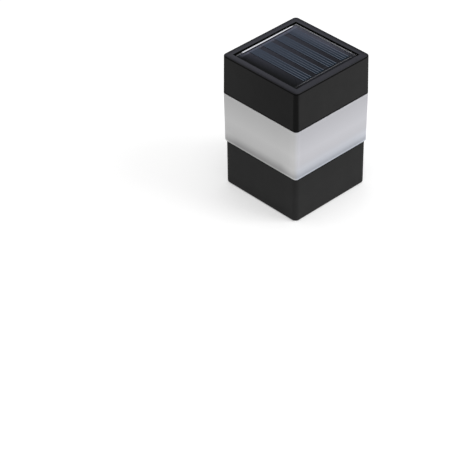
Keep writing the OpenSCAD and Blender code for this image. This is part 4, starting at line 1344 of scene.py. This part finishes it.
def make_inductor():
    """Inductor: a ferrite drum, and copper wire wound round its waist as one long helix."""
    r = (coil_high.x - coil_low.x) / 2
    top = board_high.z
    flange = 0.8 * MM
    waist = 0.6 * r
    rim_r, groove_r = 0.15 * MM, 0.1 * MM
    height = coil_high.z - coil_low.z
    drum = lathe([
        (pole_r, 0, 0), (r, 0, rim_r), (r, flange, groove_r), (waist, flange, groove_r),
        (waist, height - flange, groove_r), (r, height - flange, groove_r), (r, height, rim_r),
        (pole_r, height, 0)
    ], (0, board_y, top))
    make("ferrite_drum", [drum], "head", "inductor", ferrite)
    wire_r = 0.17 * MM
    turns = 8
    angle = np.linspace(0, turns * 2 * math.pi, turns * 32 + 1)
    low = top + flange + wire_r
    rise = height - 2 * flange - 2 * wire_r
    wound_r = 0.82 * r
    path = np.stack([
        wound_r * np.cos(angle), board_y + wound_r * np.sin(angle), low + rise * angle / angle[-1]
    ], -1)
    make("copper_winding", [sweep(path, wire_r, (0, 0, 1), 8)], "head", "inductor", copper)


def make_knob():
    """Switch knob: a stem with a lip in the case, and three ridges across its tip for a nail."""
    x0, x1 = knob_low.x, knob_high.x
    tip, top = knob_low.z, knob_high.z
    middle = (knob_low.y + knob_high.y) / 2
    stem_half, stem_r = 1.0 * MM, 0.2 * MM
    stem_low, stem_high = tip + 0.3 * MM, top - 0.1 * MM
    lip_t = 0.8 * MM
    ridge_half, ridge_pitch, ridge_h, ridge_edge_r = 0.2 * MM, 0.7 * MM, 1.0 * MM, 0.12 * MM
    edge_r = 0.1 * MM
    stem = block((x0, middle - stem_half, stem_low), (x1, middle + stem_half, stem_high), stem_r, edge_r)
    lip = block((x0, knob_low.y, top - lip_t), (x1, knob_high.y, top), edge_r, edge_r)
    ridges = []
    for k in (-1, 0, 1):
        y = middle + k * ridge_pitch
        low, high = (x0, y - ridge_half, tip), (x1, y + ridge_half, tip + ridge_h)
        ridges.append(block(low, high, edge_r, ridge_edge_r))
    make("nail_knob", [stem, lip] + ridges, "knob", "switch_knob", white_plastic)


def make_leads():
    """Leads through their listed stations: two from the panel to the board, and two from the
    battery's contacts to the board."""
    stub = lead_stub
    land_y = lead_land_y
    slot_y = wire_slot_y
    top = board_high.z
    for side, colour, material in ((1, "red", lead_red), (-1, "black", lead_black)):
        x0 = side * lead_pitch / 2
        x1 = side * lead_land_x
        drop = [
            (x0, slot_y, backing_low.z), (x0, slot_y, backing_low.z - stub - web_t),
            ((x0 + x1) / 2, (slot_y + land_y) / 2, (backing_low.z + top) / 2), (x1, land_y, top + stub),
            (x1, land_y, top)
        ]
        make(
            "panel_wire_" + colour, [sweep(smooth_route(drop), lead_d / 2, (0, 1, 0))], "head",
            "panel_lead_" + colour, material
        )
        tail_x = side * (bay_x - contact_t)
        tail_z = contact_high.z - lead_d / 2
        x1 = side * (board_high.x - stud_d - lead_d)
        bend = [
            (tail_x, bay_y, tail_z), (tail_x - side * stub, bay_y, tail_z),
            ((tail_x + x1) / 2 - side * stub, (bay_y + land_y) / 2, tail_z), (x1, land_y, tail_z - 2 * stub),
            (x1, land_y, top + stub), (x1, land_y, top)
        ]
        make(
            "battery_wire_" + colour, [sweep(smooth_route(bend), lead_d / 2, (0, 1, 0.3))], "head",
            "battery_lead_" + colour, material
        )


make_collar()
make_diffuser()
make_housing()
make_panel()
make_chassis()
make_cover()
make_battery()
make_board()
make_lamps()
make_chip()
make_inductor()
make_knob()
make_leads()

kept_solids = {"switch_case": steel, "positive_contact": contact_metal, "negative_contact": contact_metal}
for name, material in kept_solids.items():
    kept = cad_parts[name]
    kept.data.materials.clear()
    kept.data.materials.append(material)


# Floor, light and camera

FLOOR_HALF = 3.0
FLOOR_COLOUR = 0.62
FLOOR_GLOW = 0.4
AMBIENT = 0.37
AIM_HEIGHT = 50 * MM


def seen_mask(tree):
    """1 for rays that show the background: from the camera, in gloss and through clear parts."""
    path = node(tree, "ShaderNodeLightPath")
    first = maths(tree, "MAXIMUM", path.outputs["Is Camera Ray"], path.outputs["Is Glossy Ray"])
    return maths(tree, "MAXIMUM", first, path.outputs["Is Transmission Ray"])


def make_floor():
    """Pale floor that shows white to the camera and keeps the object's shadow. It is open under
    the collar's wall, so that light reaches the socket from below."""
    mesh = bpy.data.meshes.new("floor")
    opening = collar_half - collar_wall / 2
    square = ((-1, -1), (1, -1), (1, 1), (-1, 1))
    corners = [(x * half, y * half, 0) for half in (FLOOR_HALF, opening) for x, y in square]
    mesh.from_pydata(corners, [], [(0, 1, 5, 4), (1, 2, 6, 5), (2, 3, 7, 6), (3, 0, 4, 7)])
    floor = bpy.data.objects.new("floor", mesh)
    bpy.context.scene.collection.objects.link(floor)
    material, tree, shader = new_material("pale_floor")
    shader.inputs["Base Color"].default_value = grey(FLOOR_COLOUR)
    shader.inputs["Roughness"].default_value = 0.9
    shader.inputs["Specular IOR Level"].default_value = 0.0
    glow = maths(tree, "MULTIPLY", seen_mask(tree), FLOOR_GLOW)
    shader.inputs["Emission Color"].default_value = (1, 1, 1, 1)
    put(tree, shader.inputs["Emission Strength"], glow)
    below = node(tree, "ShaderNodeNewGeometry").outputs["Backfacing"]
    put(tree, shader.inputs["Alpha"], maths(tree, "SUBTRACT", 1.0, below))
    mesh.materials.append(material)


def make_world():
    """Studio surround: white where it is seen, and a soft even light on the object."""
    world = bpy.data.worlds.new("studio")
    bpy.context.scene.world = world
    world.use_nodes = True
    tree = world.node_tree
    shader = tree.nodes["Background"]
    shader.inputs["Color"].default_value = (1, 1, 1, 1)
    put(tree, shader.inputs["Strength"], ranged(tree, seen_mask(tree), AMBIENT, 1.0))


def lamp(name, place, width, watts):
    """Square soft light that faces the middle of the object."""
    data = bpy.data.lights.new(name, "AREA")
    data.size = width
    data.energy = watts
    obj = bpy.data.objects.new(name, data)
    obj.location = place
    aim = Vector((0, 0, AIM_HEIGHT)) - Vector(place)
    obj.rotation_euler = aim.to_track_quat("-Z", "Y").to_euler()
    bpy.context.scene.collection.objects.link(obj)


def make_camera():
    """Camera at the photograph's view: it looks along its yaw and pitch past the anchor point, from
    a distance back, and its picture's axes are turned by the roll."""
    anchor = Vector((0, 0, 59.5 * MM))
    yaw = math.radians(46.83)
    pitch = math.radians(37.29)
    roll = math.radians(-0.96)
    back, right_shift, up_shift = 1212.7 * MM, -41.09 * MM, -79.25 * MM
    photo_width = 464
    focal_pixels = 1944.97
    ahead = Vector((math.cos(pitch) * math.cos(yaw), math.cos(pitch) * math.sin(yaw), -math.sin(pitch)))
    right = ahead.cross(Vector((0, 0, 1))).normalized()
    up = right.cross(ahead)
    place = anchor - ahead * back + right * right_shift + up * up_shift
    x_axis = right * math.cos(roll) + up * math.sin(roll)
    y_axis = up * math.cos(roll) - right * math.sin(roll)
    data = bpy.data.cameras.new("camera")
    data.lens = focal_pixels / photo_width * data.sensor_width
    data.clip_start = 0.01
    camera = bpy.data.objects.new("camera", data)
    camera.matrix_world = Matrix((x_axis, y_axis, -ahead)).transposed().to_4x4()
    camera.location = place
    bpy.context.scene.collection.objects.link(camera)
    bpy.context.scene.camera = camera


make_floor()
make_world()
lamp("key_light", place=(0.9, -1.3, 1.5), width=1.0, watts=16.5)
lamp("top_light", place=(0.0, 0.0, 1.8), width=1.6, watts=22)
make_camera()
bpy.context.scene.view_settings.view_transform = "Standard"
